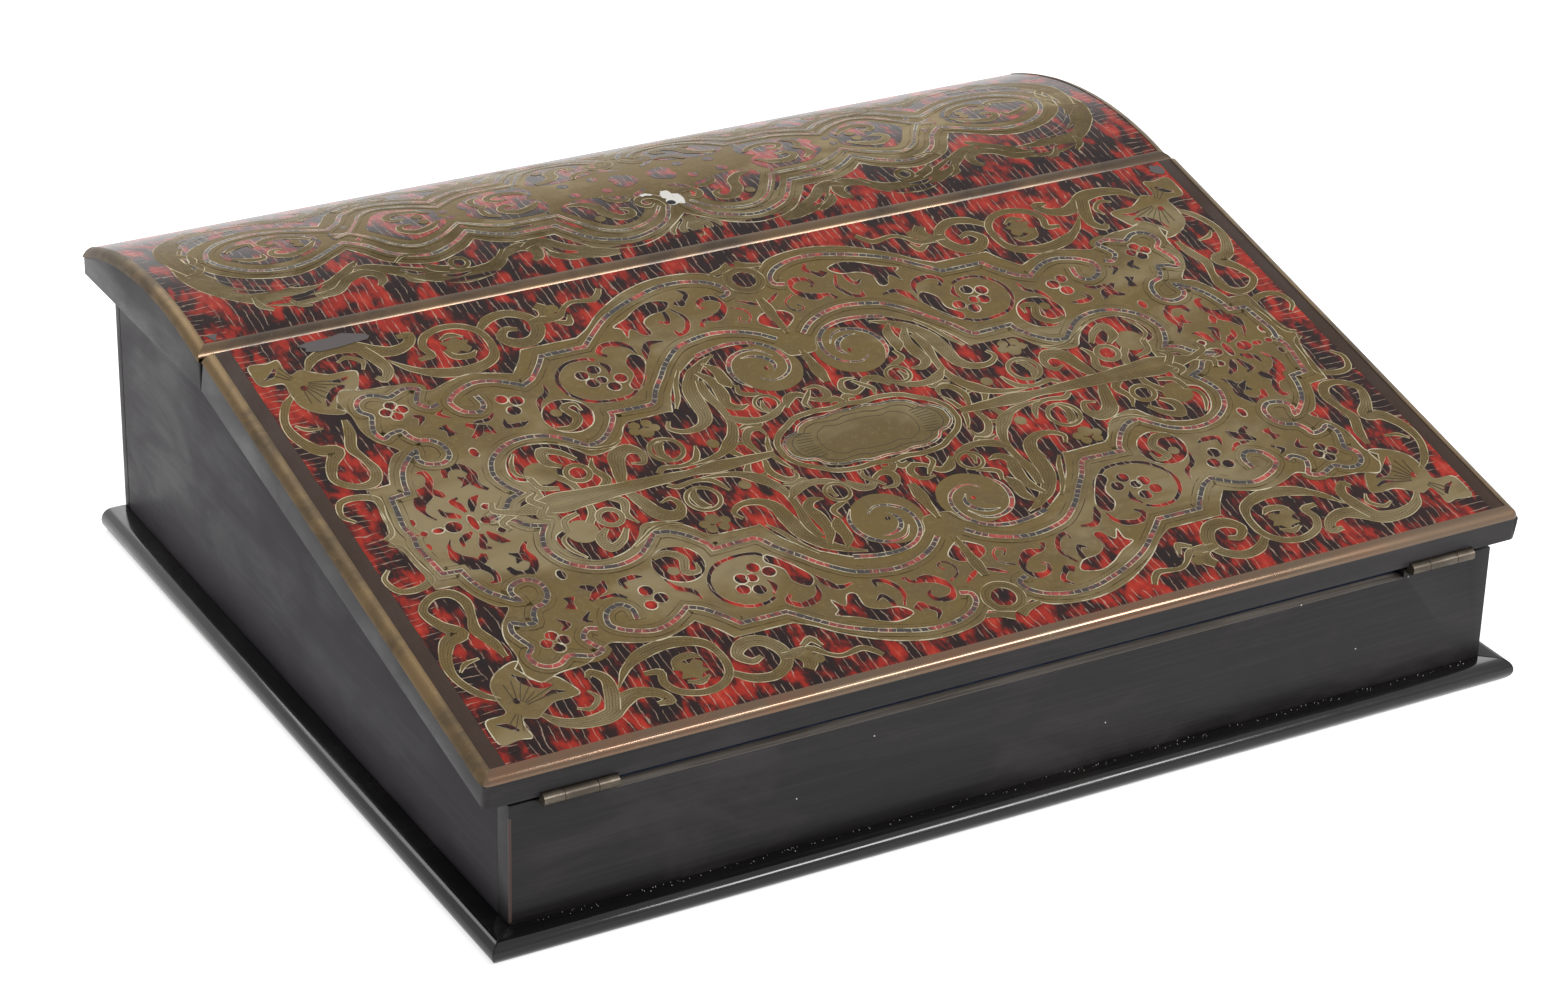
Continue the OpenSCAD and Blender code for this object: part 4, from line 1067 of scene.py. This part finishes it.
    def leaf_channels(self) -> list[Cut]:
        """Fine shell lines sawn in the scrolls and round the cartouche."""
        return [
            band("36 54 2.2, 28 56 2, 20 56.3 2, 13 54 1.9, 8.5 49 1.8, 7.3 43 1.7, 9 38 1.5, 13 35 1.3, "
                 "17.5 34.5 1, 21 37 0.8"),
            band("22 48.3 0.5, 18 48.2 1.4, 14 46 2, 12.5 42 1.8, 14.5 38.5 0.5"),
            band("25.5 33 0.6, 28.5 38 1.6, 28.5 44 2, 25.5 49 2, 20 51.5 1.6, 14.5 50.5 1, 11 46 0.6"),
            band("30.5 0, 30 3, 27 6, 23.5 7, 21 10, 16 12, 10 12, 6 13, 0 12.5", 1.2),
        ]

    def axis_pieces(self) -> list[Cut]:
        """The fleurons on the two middle lines and the brass round the cartouche."""
        return [
            band("32.6 0, 32.2 3.6, 29.2 8, 24 11.6, 19.6 14.3, 12 15.4, 6 14.9, 0 15.8", 2.4),
            band("0 28 3, 0 34 5, 0 40 3.4, 0 46 2", copies=Copies.FRONT_BACK),
            band("0.5 17 3, 2 19 3, 5 18 2"),
            band("35 0 3, 46 0 4.4, 56 0 6, 66 0 3.4, 78 0 5, 90 0 6, 102 0 8, 112 0 10, 120 0 7, "
                 "128 0 3", copies=Copies.LEFT_RIGHT), ring(0, 87, 7.6, 3.4, Copies.FRONT_BACK),
            band("10 93 2, 5 94 3, 1 96 4"),
            band("0 76 3, 0 70 4.6, 0 64 3, 0 56 2", copies=Copies.FRONT_BACK),
            band("128 0 3, 134 3 2.6, 133 7 2"), band("118 0 3, 121 4 3, 118 6.5 1.6"),
        ]

    def openings(self) -> list[Cut]:
        """The shell that shows through the brass field."""
        return [
            disc(90.5, 39, 8.6),
            Cut("56 52, 59 47, 63 44, 66 42, 72 41.5, 80 43.5, 85 49, 86 55, 84 60, 79 64, 73 64.5, "
                "69 63", width=1.6), shape("62 44, 57 50, 53 58, 56 62, 60 58, 60 52, 64 47"),
            disc(69, 48.2, 2.4), disc(75, 51.8, 2.4), disc(65, 51.5, 2.4), disc(76.8, 56.5, 2.4),
            disc(71.8, 58.2, 2.4), disc(71.5, 52.5, 2), band("67.5 55 1, 66.5 58 2.2, 68.5 61.5 1"),
            disc(106, 47, 2.5), disc(103, 51.5, 2.5), disc(107.5, 53.5, 2.2),
            band("111 44 1, 111.5 40.5 2.4, 107 39.8 2.6, 104 40.5 1"),
            band("124 45.6 2, 121 43 3.4, 118.4 41.4 4, 116.5 38.4 1.4"),
            band("124.6 38.5 1.8, 122 40 3, 119.6 43.5 2.4"), disc(127.5, 31.5, 1.6, 2.4),
            band("131.6 47 4, 130.6 44.4 2, 130 41.8 4"),
            band("141.5 23 2, 140 26.5 3, 135.5 27 3, 132.5 22.5 3, 133.5 17 2.5, 131 13.5 1.5"),
            band("138 22 1, 135.6 19.4 3.6, 133.8 16.6 1.4"),
            band("133.6 22.4 1.4, 135.4 19.4 3, 138.6 17 1"),
            band("152.9 5 0.8, 155 9 1.6, 154.6 13.5 4.5, 151.6 17.5 6.5, 148.6 20.5 3, 146.8 24 2.6, "
                 "147.3 27.4 2.4, 149.6 27.8 1"), band("149 19 2.4, 147 16.5 3.4, 146 14.4 2"),
            disc(142.6, 0, 1.5, 3.9, Copies.LEFT_RIGHT), disc(136.8, 0, 3.5, 2.3, Copies.LEFT_RIGHT),
            disc(149.3, 0, 3, 2.8, Copies.LEFT_RIGHT), disc(154.6, 0, 2.2, 1.4, Copies.LEFT_RIGHT),
            disc(163, 0, 2, copies=Copies.LEFT_RIGHT), disc(159.5, 0, 1.5, copies=Copies.LEFT_RIGHT),
            disc(160.9, 6.2, 1.4, 2), disc(135.6, 6, 1.6),
            band("140.5 5.2 1.6, 139.3 8 3.2, 137.8 10.4 3, 135.5 11.8 1.2"),
            band("142.6 5.6 1.6, 143.4 9 3, 144.6 11.4 2.6, 142.2 12.8 1"),
            band("145 3.8 1.4, 147 5.2 3, 149.4 6.6 2.6, 150.2 9.4 1.2"),
            band("120 5 1.4, 123.6 3 2.4, 124.6 0 2.6"), disc(143, 56.2, 2.2), disc(143, 61.8, 2.2),
            disc(140.2, 59, 2.2), disc(145.8, 59, 2.2),
            band("64 63.5 1.5, 66 66 2, 63 69 2.5, 58 68.5 3, 55 66 2, 54 62 1"),
            band("52 58 1, 50.5 62 3, 47.5 65.5 2.5, 42.5 65 1"),
            band("36 69 1, 35.5 66.5 2, 32.5 67.5 2, 30 71 2, 29.5 75 1.6, 32 80 1"),
            band("39 75 1, 36.5 73.5 2, 35 77 2, 35.5 84 1"),
            shape("55 77, 49 80, 43 84, 37 86, 31 84, 34 80, 40 79, 44 76, 44 70, 47 69.5, 50 74, 53 70, "
                  "53 75"),
            band("26 68 2, 24 71 1.5, 19 71 4, 15 74 3, 13.5 78 1.5, 16 81.5 3, 20.5 81 2, 22 78 1.5, "
                 "20.5 76.5 1"), band("11 69, 12.5 67, 10 65.5, 7.5 68, 8 72, 12 74.5", 0.9),
            shape("0 58 c, 3.4 60, 6.6 63.5, 5 67, 0 69 c"),
            band("29 83 3, 27 81.5 3, 25.5 83 2, 23 86 2, 25 89 1"), band("7.5 77 1, 4 74.5 2, 0 72 1"),
            band("138 50 1, 136 53 2.6, 138.5 55 1.4"), band("127 50 1, 130 53 2, 128 54.5 1"),
            band("113 48 1, 116 45.5 2, 121 45.5 1.6"), band("98 44 1, 96 49 2.2, 92 52 2, 91 56 1"),
        ]

    def corner_openings(self) -> list[Cut]:
        """The shell that shows through the four corner leaves."""
        return [
            band("162 68 1, 159.5 72 3, 156 75 3.4, 152.5 76 1.6"),
            band("176 86.5 1, 173 88 2.2, 170.5 91 1.6"), band("150 80 1, 153.5 79 2, 157 80 1"),
            disc(165.5, 79, 1.3),
        ]

    def border(self) -> list[Cut]:
        """Scrolls and leaves of brass that stand free on the shell round the field."""
        return [
            shape("158 63, 165 65, 170 70, 171 77, 171 83, 178 84, 179 90, 178 95, 172 94.5, 168 95, 168 90, "
                  "167 86.5, 163 88, 160 86, 155 83, 150 83, 146 82, 147 78, 150 73, 155 74, 158 70"),
            band("170 77 2, 175 72 3, 178.5 64 3, 178 56 4, 174 48.5 5, 169 46 6, 173 40 4, 175 33 3, "
                 "170 28 3, 164 28 4, 161 33 4, 162 40 3, 163.5 46 4, 161 53 4, 160 60 2"),
            band("168 58 1, 173 59 2, 176 62 1"),
            band("172 1 2, 168.5 4 2, 167.5 12 2, 166.5 20 3, 172 23 3, 178 22 2.6, 180 16 2, 177 12 1.4"),
            band("161 87 2, 157 92 4, 150 94.5 5, 142 94 6, 136 90 6, 130 88 5, 124 90 4, 122 94 4, "
                 "126 94.5 2"), band("140 92 5, 137 85 5, 136 79 4, 139 75 3, 141 77 2"),
            band("134 84 1, 128 77 3, 120 72.5 5, 110 71 5, 101 74 4, 98 80 3, 98.5 88 3, 103 93 3, "
                 "110 94.5 3, 117 92 3, 120 87 3, 119 82 3, 124 81 2"),
            shape("104.5 82, 107 80, 109 81.5, 111.5 79.5, 113.5 82, 112.5 84.5, 114 87, 110.5 87.5, "
                  "108.5 89, 106.5 86.5, 104 86, 105.5 84"), band("104 80 1, 107 78 3, 112 79 3, 114 83 2"),
            band("105 88 1, 109 90 2.6, 113 88.5 1.4"),
            band("98 90 3, 93 94 4, 86 95 4, 80 91 4, 79 85 5, 83 79.5 5, 89 79 5, 93 83 4, 90 87 3, "
                 "86 86 2"), band("80 88 3, 75 89 4, 73 93 5, 75 96 4"),
            band("76 88 4, 70 88 3, 66 92 2, 62 94 2, 55 93 2.6, 52 95 2.6, 50 98 2"), disc(70, 92.6, 2.2),
            disc(72, 89.6, 1.8), band("72 86 2, 68 84 3, 66 88 1.6"),
            band("150 88 1, 146 89.5 2, 142 86 2, 143.5 82 1"),
        ]


@dataclass
class DomePattern:
    """The marquetry of the dome lid, drawn once for a quarter and laid four times."""

    strap: str = (
        "3 25, 7 32, 13 36.5, 25 39.5, 37 35.5, 44 27, 46 23.5 c, 63 23.5 c, 70 20, 76 15.5 c, 84 22, 95 26, "
        "106 21, 112 12, 118 6.5 c, 124 10, 133 15, 143 17, 154 14.5, 162 7, 165 -2"
    )
    inner_strap: str = (
        "6 24, 11 30, 18 33.5, 26 34, 33 30.5, 39 22.5, 42 17 c, 61 17 c, 68 14, 76 8.5 c, 85 15.5, 95 19, "
        "102 15.5, 107 8, 112 1 c, 119 -2"
    )
    edge: str = (
        "0 31 c, 6 36, 14 41.5, 25 44.2, 38 41, 46 33, 49 28.5 c, 64 28.5 c, 71 25.5, 76 21.5 c, 82 26.5, "
        "95 31, 109 26, 115.5 17, 119 12 c, 125 15.5, 134 20.5, 144 22.5, 157 19, 167 11, 171 0 c"
    )

    def build(self) -> list[Piece]:
        """Lay the brass of the dome and the shell set into it."""
        finishes = {Stock.BRASS: "dome_brass", Stock.SHELL: "dome_inlay", Stock.CHANNEL: "channel",
                    Stock.LINE: "brass_line", Stock.STRAP: "dome_strap"}
        layers = [
            Layer("brass_field", Stock.BRASS, 1, [shape(f"0 0 c, {self.edge}")]),
            Layer("border_leaves", Stock.BRASS, 1, self.border()),
            Layer("shell_grounds", Stock.SHELL, 2, self.openings()),
            Layer("cut_edges", Stock.LINE, 2, [band(self.edge, 0.4)]),
            Layer("straps", Stock.STRAP, 3, [band(self.strap, 5.4), band(self.inner_strap, 3.6)]),
            Layer("channels", Stock.CHANNEL, 4, [band(self.strap, 1.9), band(self.inner_strap, 1.3)]),
            Layer("leaves", Stock.BRASS, 5, self.leaves()),
        ]
        return Marquetry("dome", "dome_lid", DomeFace(), finishes, layers, slice_mm=3.0).build()

    def border(self) -> list[Cut]:
        """Acanthus and small scrolls of brass between the strap and the bead."""
        return [
            band("168 -16 2.5, 173 -8 5, 175 2 6.5, 174.5 12 8, 170 21 9.5, 162 28 11, 152 33 11.5, "
                 "143 35 9.5, 135 33.5 7, 129 29.5 5.4, 123.5 24.5 3.6, 120 21.5 1.8"),
            band("141 37 3, 133 36 4, 127 31 4, 121 29 4.4, 116.5 31 4, 116 35 3.4, 118.5 38 1.8"),
            band("122.5 25 1.8, 117 26.5 4, 111 30.5 5.4, 105 34.5 7, 98 38 8, 90 41 8.4, 82 41 7, "
                 "75.5 38.5 5.4, 71.5 34.5 4, 70 31 2"), band("99 31 1.4, 97 34 4, 92 36.5 4"),
            ring(87.5, 34, 4, 2), band("72 36 2, 67 32.5 4.6, 62.5 32 5.4, 59.5 35 5, 60 39 4, 62.5 41 1.8"),
            band("63 33 2.6, 58 30.6 4, 54 33 6, 50.5 37.5 7, 45 41 7, 38.5 43.6 5.4, 32 45 3.2"),
            band("56 37 1.4, 54.5 40 3.4, 50 43 3, 46.5 44.5 1"),
            band("0 33 5, 0 38 7, 0 43 4, 0 45.5 1.4", copies=Copies.FRONT_BACK),
            band("2 36 2, 5 40 3, 4 43.5 1.4"), band("4 35 1.4, 8.5 39 2.4, 9 42.5 1.2"),
            band("176 10 2, 171 8.5 3, 168.5 3 3, 171 -2 2.4"), band("161 31 1.4, 160.5 36 3, 157 39.5 1.6"),
            band("150 36 1.4, 148 39.5 2.6, 144 41 1.2"), band("108 34 1.4, 107 38 2.6, 103 40.5 1.2"),
        ]

    def openings(self) -> list[Cut]:
        """The shell that shows through the dome's brass."""
        return [
            shape("11 20, 13 26, 19 30, 26 30.5, 31 27, 36 20, 39 14, 35 10, 28 9, 20 11, 14 13"),
            shape("45 13, 59 13, 65 10, 70 5, 68 0, 58 -1.5, 46 0, 41 6"),
            shape("79 6, 86 11.5, 94 14.5, 99 12, 103 6, 106 0, 100 -1.5, 88 -1.5, 80 0"),
            shape("124 2, 129 8, 137 11.5, 146 12, 154 8.5, 159 2, 158 -1.5, 142 -3, 128 -2"),
            shape("3.2 3, 8 6, 11 5, 12 1, 8 -1.2, 3 -1.2"),
            band("44.5 12 1, 43.5 18 3, 40 24.5 3.4, 38 28 1.4"),
            band("66 21 1, 70 18.5 2, 74.5 14.5 2, 76 11 1"),
            band("4.5 10 1.2, 9.5 14 2.6, 10 19 2, 8 22.5 1"), band("109 3 1, 113 8 2.2, 112.5 13 1.6"),
            band("168 16 1, 164 21.5 2.6, 158 25.5 3, 150 28 2.4, 143 28 1"), disc(17, 6, 2),
            disc(29, 5, 2.2), band("166 24 1, 160.5 27.5 2.4, 154 29 1.2"),
            band("152 34 1, 146.5 35 2.4, 140 33.5 2, 136 31 1"), band("96 39 1, 91 40.5 2.2, 86 40 1"),
            band("108 31.5 1, 104.5 34.5 2, 101 36 1"), band("53.5 36 1, 50 39.5 2.2, 46 41 1"),
            band("53 20.2 1.4, 58 20.2 1.8, 62 20 1"), disc(76, 3, 1.6), disc(118, 1.5, 2),
            disc(113, -1, 1.4),
        ]

    def leaves(self) -> list[Cut]:
        """Scrolls over the dome's shell grounds."""
        return [
            band("3 25 1.6, 3 20 3, 6 16.5 3.4, 10.5 17 3, 12 20.5 2.6, 9.5 23 2.4, 7 21.5 1.4"),
            band("36 12 2, 31 13 3.4, 27 17 4.4, 26 22 4.6, 22 26.5 4, 17.5 26 3, 17 22.5 2.4, 20 21 1.4"),
            band("22 10 1.4, 20 14 3, 15.5 16 2.6, 13 15 1.2"), disc(29.5, 25, 2),
            band("43 4 1.4, 48 8 3.4, 54 9 3.6, 58 6 3, 56 2.6 2.4, 52 3 1.2"),
            band("60 10 1.2, 64 7 3, 64 2 2.4, 61 0 1.2"),
            band("81 4 1.4, 86 8 3.4, 92 9.5 3.6, 96 6.5 3, 95 3 2.4, 91 3 1.4"), disc(86, 2.6, 2),
            band("126 1 1.6, 131 6 3.4, 138 8.5 3.6, 143 6 3, 142 2.6 2.4, 138 2.6 1.4"), disc(132, 1.6, 1.8),
            band("157 3 1.6, 152 6.5 3.4, 147 7 2.4, 146.5 3.6 1.4"),
            band("108 27 1, 104 24 1.6, 97 24.5 1.2"),
        ]


@dataclass
class Wear:
    """Chips, losses and repairs that the box shows, and painted shade in the keyhole."""

    seed: int = 7
    gap_floor_z: float = 46.3
    gap_half: float = 145.2
    front_board: float = 7.6
    bare_arris: float = 0.25
    bare_wood: float = 4.4
    velvet_pile: float = 0.5
    case_half: float = 180.5
    worn_from_z: float = 9.0
    worn_to_z: float = 45.0
    proud: float = 0.08
    front_specks: tuple[tuple[float, float], ...] = (
        (-83.0, 25.0), (-56.0, 40.0), (30.0, 22.0), (128.0, 24.0), (104.0, 46.2), (147.0, 46.2),
    )
    dust_specks: int = 150
    filler_level: int = 6
    ragged: tuple[float, float] = (0.78, 1.18)

    def build(self) -> list[Piece]:
        """Lay each chip and repair, and the painted shade of the keyhole, on the face that carries it."""
        low, high = self.gap_floor_z, self.gap_floor_z + 0.06
        half, arris_y, inner_y = self.gap_half, FRONT_Y + self.bare_arris, FRONT_Y + self.front_board
        return [
            self.slab("bare_gap_floor", (-half, arris_y, low - SHEET_MM), (half, inner_y - SHEET_MM, high),
                      "bare_wood"),
            self.slab("gap_velvet", (-half, FRONT_Y + self.bare_wood, low - SHEET_MM),
                      (half, inner_y - 0.2, high + self.velvet_pile), "velvet"),
            self.slab("gap_arris", (-half, FRONT_Y - self.proud / 2, low - 0.12),
                      (half, arris_y, high + 0.02), "edge_fleck"),
            self.slab("worn_corner", (-self.case_half - self.proud, FRONT_Y - self.proud, self.worn_from_z),
                      (-self.case_half + 0.75, FRONT_Y + 0.6, self.worn_to_z), "worn_arris"),
            self.flecks(),
            self.loss("keyhole_chip", 7, "gesso", "-0.8 14.6 c, 1.6 14.8 c, 2 17.6 c, 4.3 18.6 c, 4.6 22, "
                      "3.6 25.4 c, 1.4 24.6, -0.4 25.2, -2.6 24.4, -2.2 21.6 c, -1.2 20.4 c, -2.4 19.4 c, "
                      "-1.6 17.4 c"),
            # Painted shade: the keyhole's opening is a near-black sheet.
            self.loss("keyhole_hole", 8, "hole",
                      "0.6 23.4, 0.2 24.6, -1 25, -2.4 24.4, -2.6 23, -1.4 22, 0 22.2"),
            self.loss("dome_fleck", 7, "gesso",
                      "-9 14.4 c, -6.5 14 c, -4.4 15.6 c, -5 16.4 c, -7 15.6 c, -8.6 16 c"),
            self.patch("dome_corner_chip", DomeFace(), (-182.0, 47.0), 2.0, "dome_lid", 3),
            self.patch("corner_filler_left", SlopeFace(), (-146.0, -98.3), 12.5, "slope_flap", 13, 0.26),
            self.patch("corner_filler_right", SlopeFace(), (177.0, -100.2), 2.8, "slope_flap", 13),
        ]

    def slab(self, name: str, low: Triple, high: Triple, finish: str) -> Piece:
        """A thin block on the case, between two corners in millimetres."""
        bm = bmesh.new()
        made = bmesh.ops.create_cube(bm, size=1.0)
        size = Vector(high) - Vector(low)
        bmesh.ops.scale(bm, vec=size * MM, verts=made["verts"])
        bmesh.ops.translate(bm, vec=(Vector(low) + size / 2) * MM, verts=made["verts"])
        return shown(name, bm, finish, "case")

    def flecks(self) -> Piece:
        """White specks of dust and paint on the front board and the base moulding."""
        rng = random.Random(self.seed)
        bm = bmesh.new()
        places = [(x, FRONT_Y - 0.02, z, 0.3) for x, z in self.front_specks]
        places += [(rng.uniform(-178, 178), FRONT_Y - rng.uniform(0.4, 2.6), 8.05, rng.uniform(0.06, 0.16))
                   for _ in range(self.dust_specks)]
        for x, y, z, r in places:
            made = bmesh.ops.create_icosphere(bm, subdivisions=1, radius=r * MM)
            bmesh.ops.translate(bm, vec=Vector((x, y, z)) * MM, verts=made["verts"])
        return shown("flecks", bm, "gesso", "case")

    def loss(self, name: str, level: int, finish: str, outline: str) -> Piece:
        """A piece with a drawn outline on the dome's marquetry, at the height of one of its layers, for a
        loss and for the painted shade of the keyhole.
        """
        bm = bmesh.new()
        face = DomeFace()
        points = [p.place for p in smooth_run(read_path(outline), 1.0, True)]
        bm.faces.new([bm.verts.new(face.place(p.x, p.y, LEVEL_MM * level)) for p in points])
        face_out(bm)
        triangulate(bm, bm.faces[:])
        thicken(bm)
        return shown(name, bm, finish, "dome_lid")

    def patch(self, name: str, face: SlopeFace | DomeFace, place: tuple[float, float], radius: float,
              body: str, corners: int, squeeze: float = 1.0) -> Piece:
        """A thin patch of filler with a ragged edge.

        Args:
            name: the patch's name.
            face: the face that carries it.
            place: its middle on the face, in millimetres.
            radius: its mean radius in millimetres.
            body: the CAD body that it moves with.
            corners: the number of its corners.
            squeeze: its depth as a share of its width.

        Returns:
            The patch.
        """
        rng = random.Random(self.seed + len(name))
        bm = bmesh.new()
        bmesh.ops.create_circle(bm, cap_ends=True, radius=radius, segments=corners)
        for vert in bm.verts:
            ragged = rng.uniform(*self.ragged)
            x, y = place[0] + vert.co.x * ragged, place[1] + vert.co.y * ragged * squeeze
            vert.co = face.place(x, y, LEVEL_MM * self.filler_level)
        face_out(bm)
        thicken(bm)
        return shown(name, bm, "filler", body)


@dataclass(frozen=True)
class Row:
    """CAD pieces that share a body, a finish, a slot and the wear of their arrises."""

    nodes: str
    body: str
    finish: str
    slot: str
    worn_mm: float = 0.0

    def build(self, frame: dict) -> list[Piece]:
        """Soften each piece and give it its finish."""
        return [SoftenedNode(node, self.body, self.finish, self.slot, self.worn_mm,
                             FLAP_CORNERS.get(node, 0.0)).build(frame) for node in self.nodes.split()]


@dataclass
class CadPieces:
    """CAD pieces that are softened and dressed row by row."""

    rows: tuple[Row, ...] = ()

    def build(self, frame: dict) -> list[Piece]:
        """Dress every piece of every row."""
        return [piece for row in self.rows for piece in row.build(frame)]


@dataclass
class Carcass(CadPieces):
    """The case, the flap's board and the dome's boards, with worn arrises."""

    rows: tuple[Row, ...] = (
        Row("front_board back_board", "case", "ebony", "black_wood", 0.5),
        # The side boards carry painted light: a paler copy of the front's ebonised wood.
        Row("side_left side_right", "case", "ebony_side", "black_wood", 0.5),
        Row("base_moulding_front base_moulding_left base_moulding_right", "case", "moulding", "black_wood",
            0.4),
        Row("bottom_board partition well_floor ink_divider_left ink_divider_right cell_divider_left "
            "cell_divider_right tray_ledge_left tray_ledge_right pen_tray", "case", "inner_wood",
            "brown_wood", 0.3),
        Row("dome_end_left dome_end_right dome_front_rail dome_back_rail", "dome_lid", "ebony",
            "black_wood", 0.4),
        Row("slope_board", "slope_flap", "ebony", "black_wood", 0.9),
        Row("slope_strip_left slope_strip_right", "slope_flap", "strip", "brown_wood", 0.1),
    )


@dataclass
class Fittings(CadPieces):
    """Beads, hinges, lock and inkwells: CAD pieces shaded smooth and given their metal."""

    rows: tuple[Row, ...] = (
        Row("slope_bead_front", "slope_flap", "bead", "brass"),
        Row("slope_bead_left slope_bead_right", "slope_flap", "side_bead", "brass"),
        Row("dome_bead_front", "dome_lid", "dome_bead", "brass"),
        Row("dome_bead_left dome_bead_right", "dome_lid", "side_bead", "brass"),
        Row("dome_shell", "dome_lid", "dome_shell", "tortoiseshell_and_brass"),
        Row("front_hinge_fixed_leaves back_hinge_fixed_leaves hinge_pins case_hinge_screws", "case",
            "dull_brass", "dull_brass"),
        Row("slope_hinge_leaves slope_hinge_screws strike_plate strike_screws", "slope_flap", "dull_brass",
            "dull_brass"),
        Row("dome_hinge_leaves dome_hinge_screws", "dome_lid", "dull_brass", "dull_brass"),
        Row("lock_case lock_key_pin lock_screws", "dome_lid", "bright_brass", "brass"),
        Row("lock_bolt", "lock_bolt", "steel", "steel"),
        Row("inkwell_collar_left inkwell_collar_right inkwell_pins", "case", "bright_brass", "brass"),
        Row("inkwell_cap_left", "left_ink_cap", "bright_brass", "brass", 0.2),
        Row("inkwell_cap_right", "right_ink_cap", "bright_brass", "brass", 0.2),
        Row("inkwell_glass_left inkwell_glass_right", "case", "glass", "clear_glass", 0.8),
    )


@dataclass
class PlainNodes:
    """CAD pieces that are shown as they are, with a finish."""

    finishes: dict[str, str] = field(default_factory=lambda: {
        "slope_shell": "slope_shell", "slope_cartouche": "plate_brass", "dome_panel": "inner_wood",
        "lock_block": "inner_wood", "slope_velvet": "velvet", "dome_velvet": "velvet",
        "paper_space_velvet": "velvet", "front_edge_velvet": "velvet",
    })

    def build(self, frame: dict) -> list[Piece]:
        """Give each piece its finish."""
        for name, finish in self.finishes.items():
            materials = frame["nodes"][name].data.materials
            materials.clear()
            materials.append(material_of(finish))
        return [frame["nodes"][name] for name in self.finishes]


@dataclass(frozen=True)
class Lamp:
    """A lamp with a rectangular face, turned to the box."""

    name: str
    place: Triple
    width: float
    height: float
    watts: float
    aim: Triple = (0, 0, 0.05)

    def build(self) -> None:
        """Hang the lamp."""
        data = bpy.data.lights.new(self.name, "AREA")
        data.shape = "RECTANGLE"
        data.size, data.size_y, data.energy = self.width, self.height, self.watts
        lamp = bpy.data.objects.new(self.name, data)
        lamp.location = self.place
        lamp.rotation_euler = (Vector(self.aim) - Vector(self.place)).to_track_quat("-Z", "Y").to_euler()
        bpy.context.scene.collection.objects.link(lamp)


@dataclass
class Studio:
    """A white floor and backdrop, soft lamps and the camera."""

    camera_place: Triple = (-0.638303, -1.095538, 0.686603)
    camera_right: Triple = (0.87041302, -0.49173263, 0.02408751)
    camera_up: Triple = (0.2054, 0.40718, 0.889955)
    lens_mm: float = 96.046
    sensor_mm: float = 36.0
    floor_size: float = 12.0
    floor_glow: float = 0.62
    paper: str = "#f2f2f2"
    light: str = "#ffffff"
    world_level: float = 0.5
    lamps: tuple[Lamp, ...] = (
        Lamp("window", (-0.35, 1.3, 1.5), 1.1, 1.1, 12.5),
        Lamp("low backdrop", (1.0, 1.75, 0.7), 2.2, 0.8, 4.5),
        Lamp("left fill", (-1.8, -0.7, 1.1), 2.6, 1.8, 2.5),
        Lamp("front strip", (0.9, -1.7, 1.3), 1.0, 0.42, 27.0),
    )

    def build(self) -> None:
        """Make the floor, the world, the lamps and the camera."""
        self.floor()
        self.world()
        for lamp in self.lamps:
            lamp.build()
        self.camera()

    def floor(self) -> None:
        """A pale floor that keeps the box's shadow and glows a little where it is seen."""
        bm = bmesh.new()
        bmesh.ops.create_grid(bm, x_segments=2, y_segments=2, size=self.floor_size / 2)
        mesh = bpy.data.meshes.new("floor")
        bm.to_mesh(mesh)
        bm.free()
        material = bpy.data.materials.new("white paper")
        nodes = Nodes.of(material)
        paper = nodes.add(Kind.PAPER, self.paper)
        glowing = nodes.add(Kind.BOTH, paper, nodes.add(Kind.GLOW, self.light, self.floor_glow))
        nodes.add(Kind.MATERIAL_END, nodes.add(Kind.EITHER, self.seen(nodes), paper, glowing))
        mesh.materials.append(material)
        floor = bpy.data.objects.new("floor", mesh)
        bpy.context.scene.collection.objects.link(floor)

    def world(self) -> None:
        """Even light from all round, and white where it is seen."""
        world = bpy.data.worlds.new("studio")
        bpy.context.scene.world = world
        nodes = Nodes.of(world)
        soft, white = (nodes.add(Kind.SKY, self.light, level) for level in (self.world_level, 1.0))
        nodes.add(Kind.WORLD_END, nodes.add(Kind.EITHER, self.seen(nodes), soft, white))

    def seen(self, nodes: Nodes) -> Socket:
        """One for the rays that show the background: the camera's, a mirrored one and one through glass."""
        ray = nodes.add(Kind.RAY).node.outputs
        mirrored = nodes.add(Kind.GREATER, ray["Is Glossy Ray"], ray["Is Transmission Ray"])
        return nodes.add(Kind.GREATER, ray["Is Camera Ray"], mirrored)

    def camera(self) -> None:
        """The camera at the photograph's place, with its tilt and lens."""
        data = bpy.data.cameras.new("camera")
        data.lens = self.lens_mm
        data.sensor_width = self.sensor_mm
        data.clip_start, data.clip_end = 0.05, 50.0
        camera = bpy.data.objects.new("camera", data)
        right, up = Vector(self.camera_right), Vector(self.camera_up)
        turn = Matrix((right, up, right.cross(up))).transposed().to_4x4()
        camera.matrix_world = Matrix.Translation(self.camera_place) @ turn
        bpy.context.scene.collection.objects.link(camera)
        bpy.context.scene.camera = camera


def main() -> None:
    """Load the frame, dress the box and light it."""
    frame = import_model()
    Studio().build()
    for label, pieces in (
        ("carcass", Carcass().build(frame)), ("fittings", Fittings().build(frame)),
        ("plain pieces", PlainNodes().build(frame)), ("flap", FlapPattern().build()),
        ("dome", DomePattern().build()), ("wear", Wear().build()),
    ):
        for piece in pieces:
            log.info("%s: %s, %d faces", label, piece.name, len(piece.data.polygons))
    bpy.context.scene.view_settings.view_transform = "Standard"


if __name__ == "__main__":
    logging.basicConfig(level=logging.INFO, format="%(message)s")
    main()
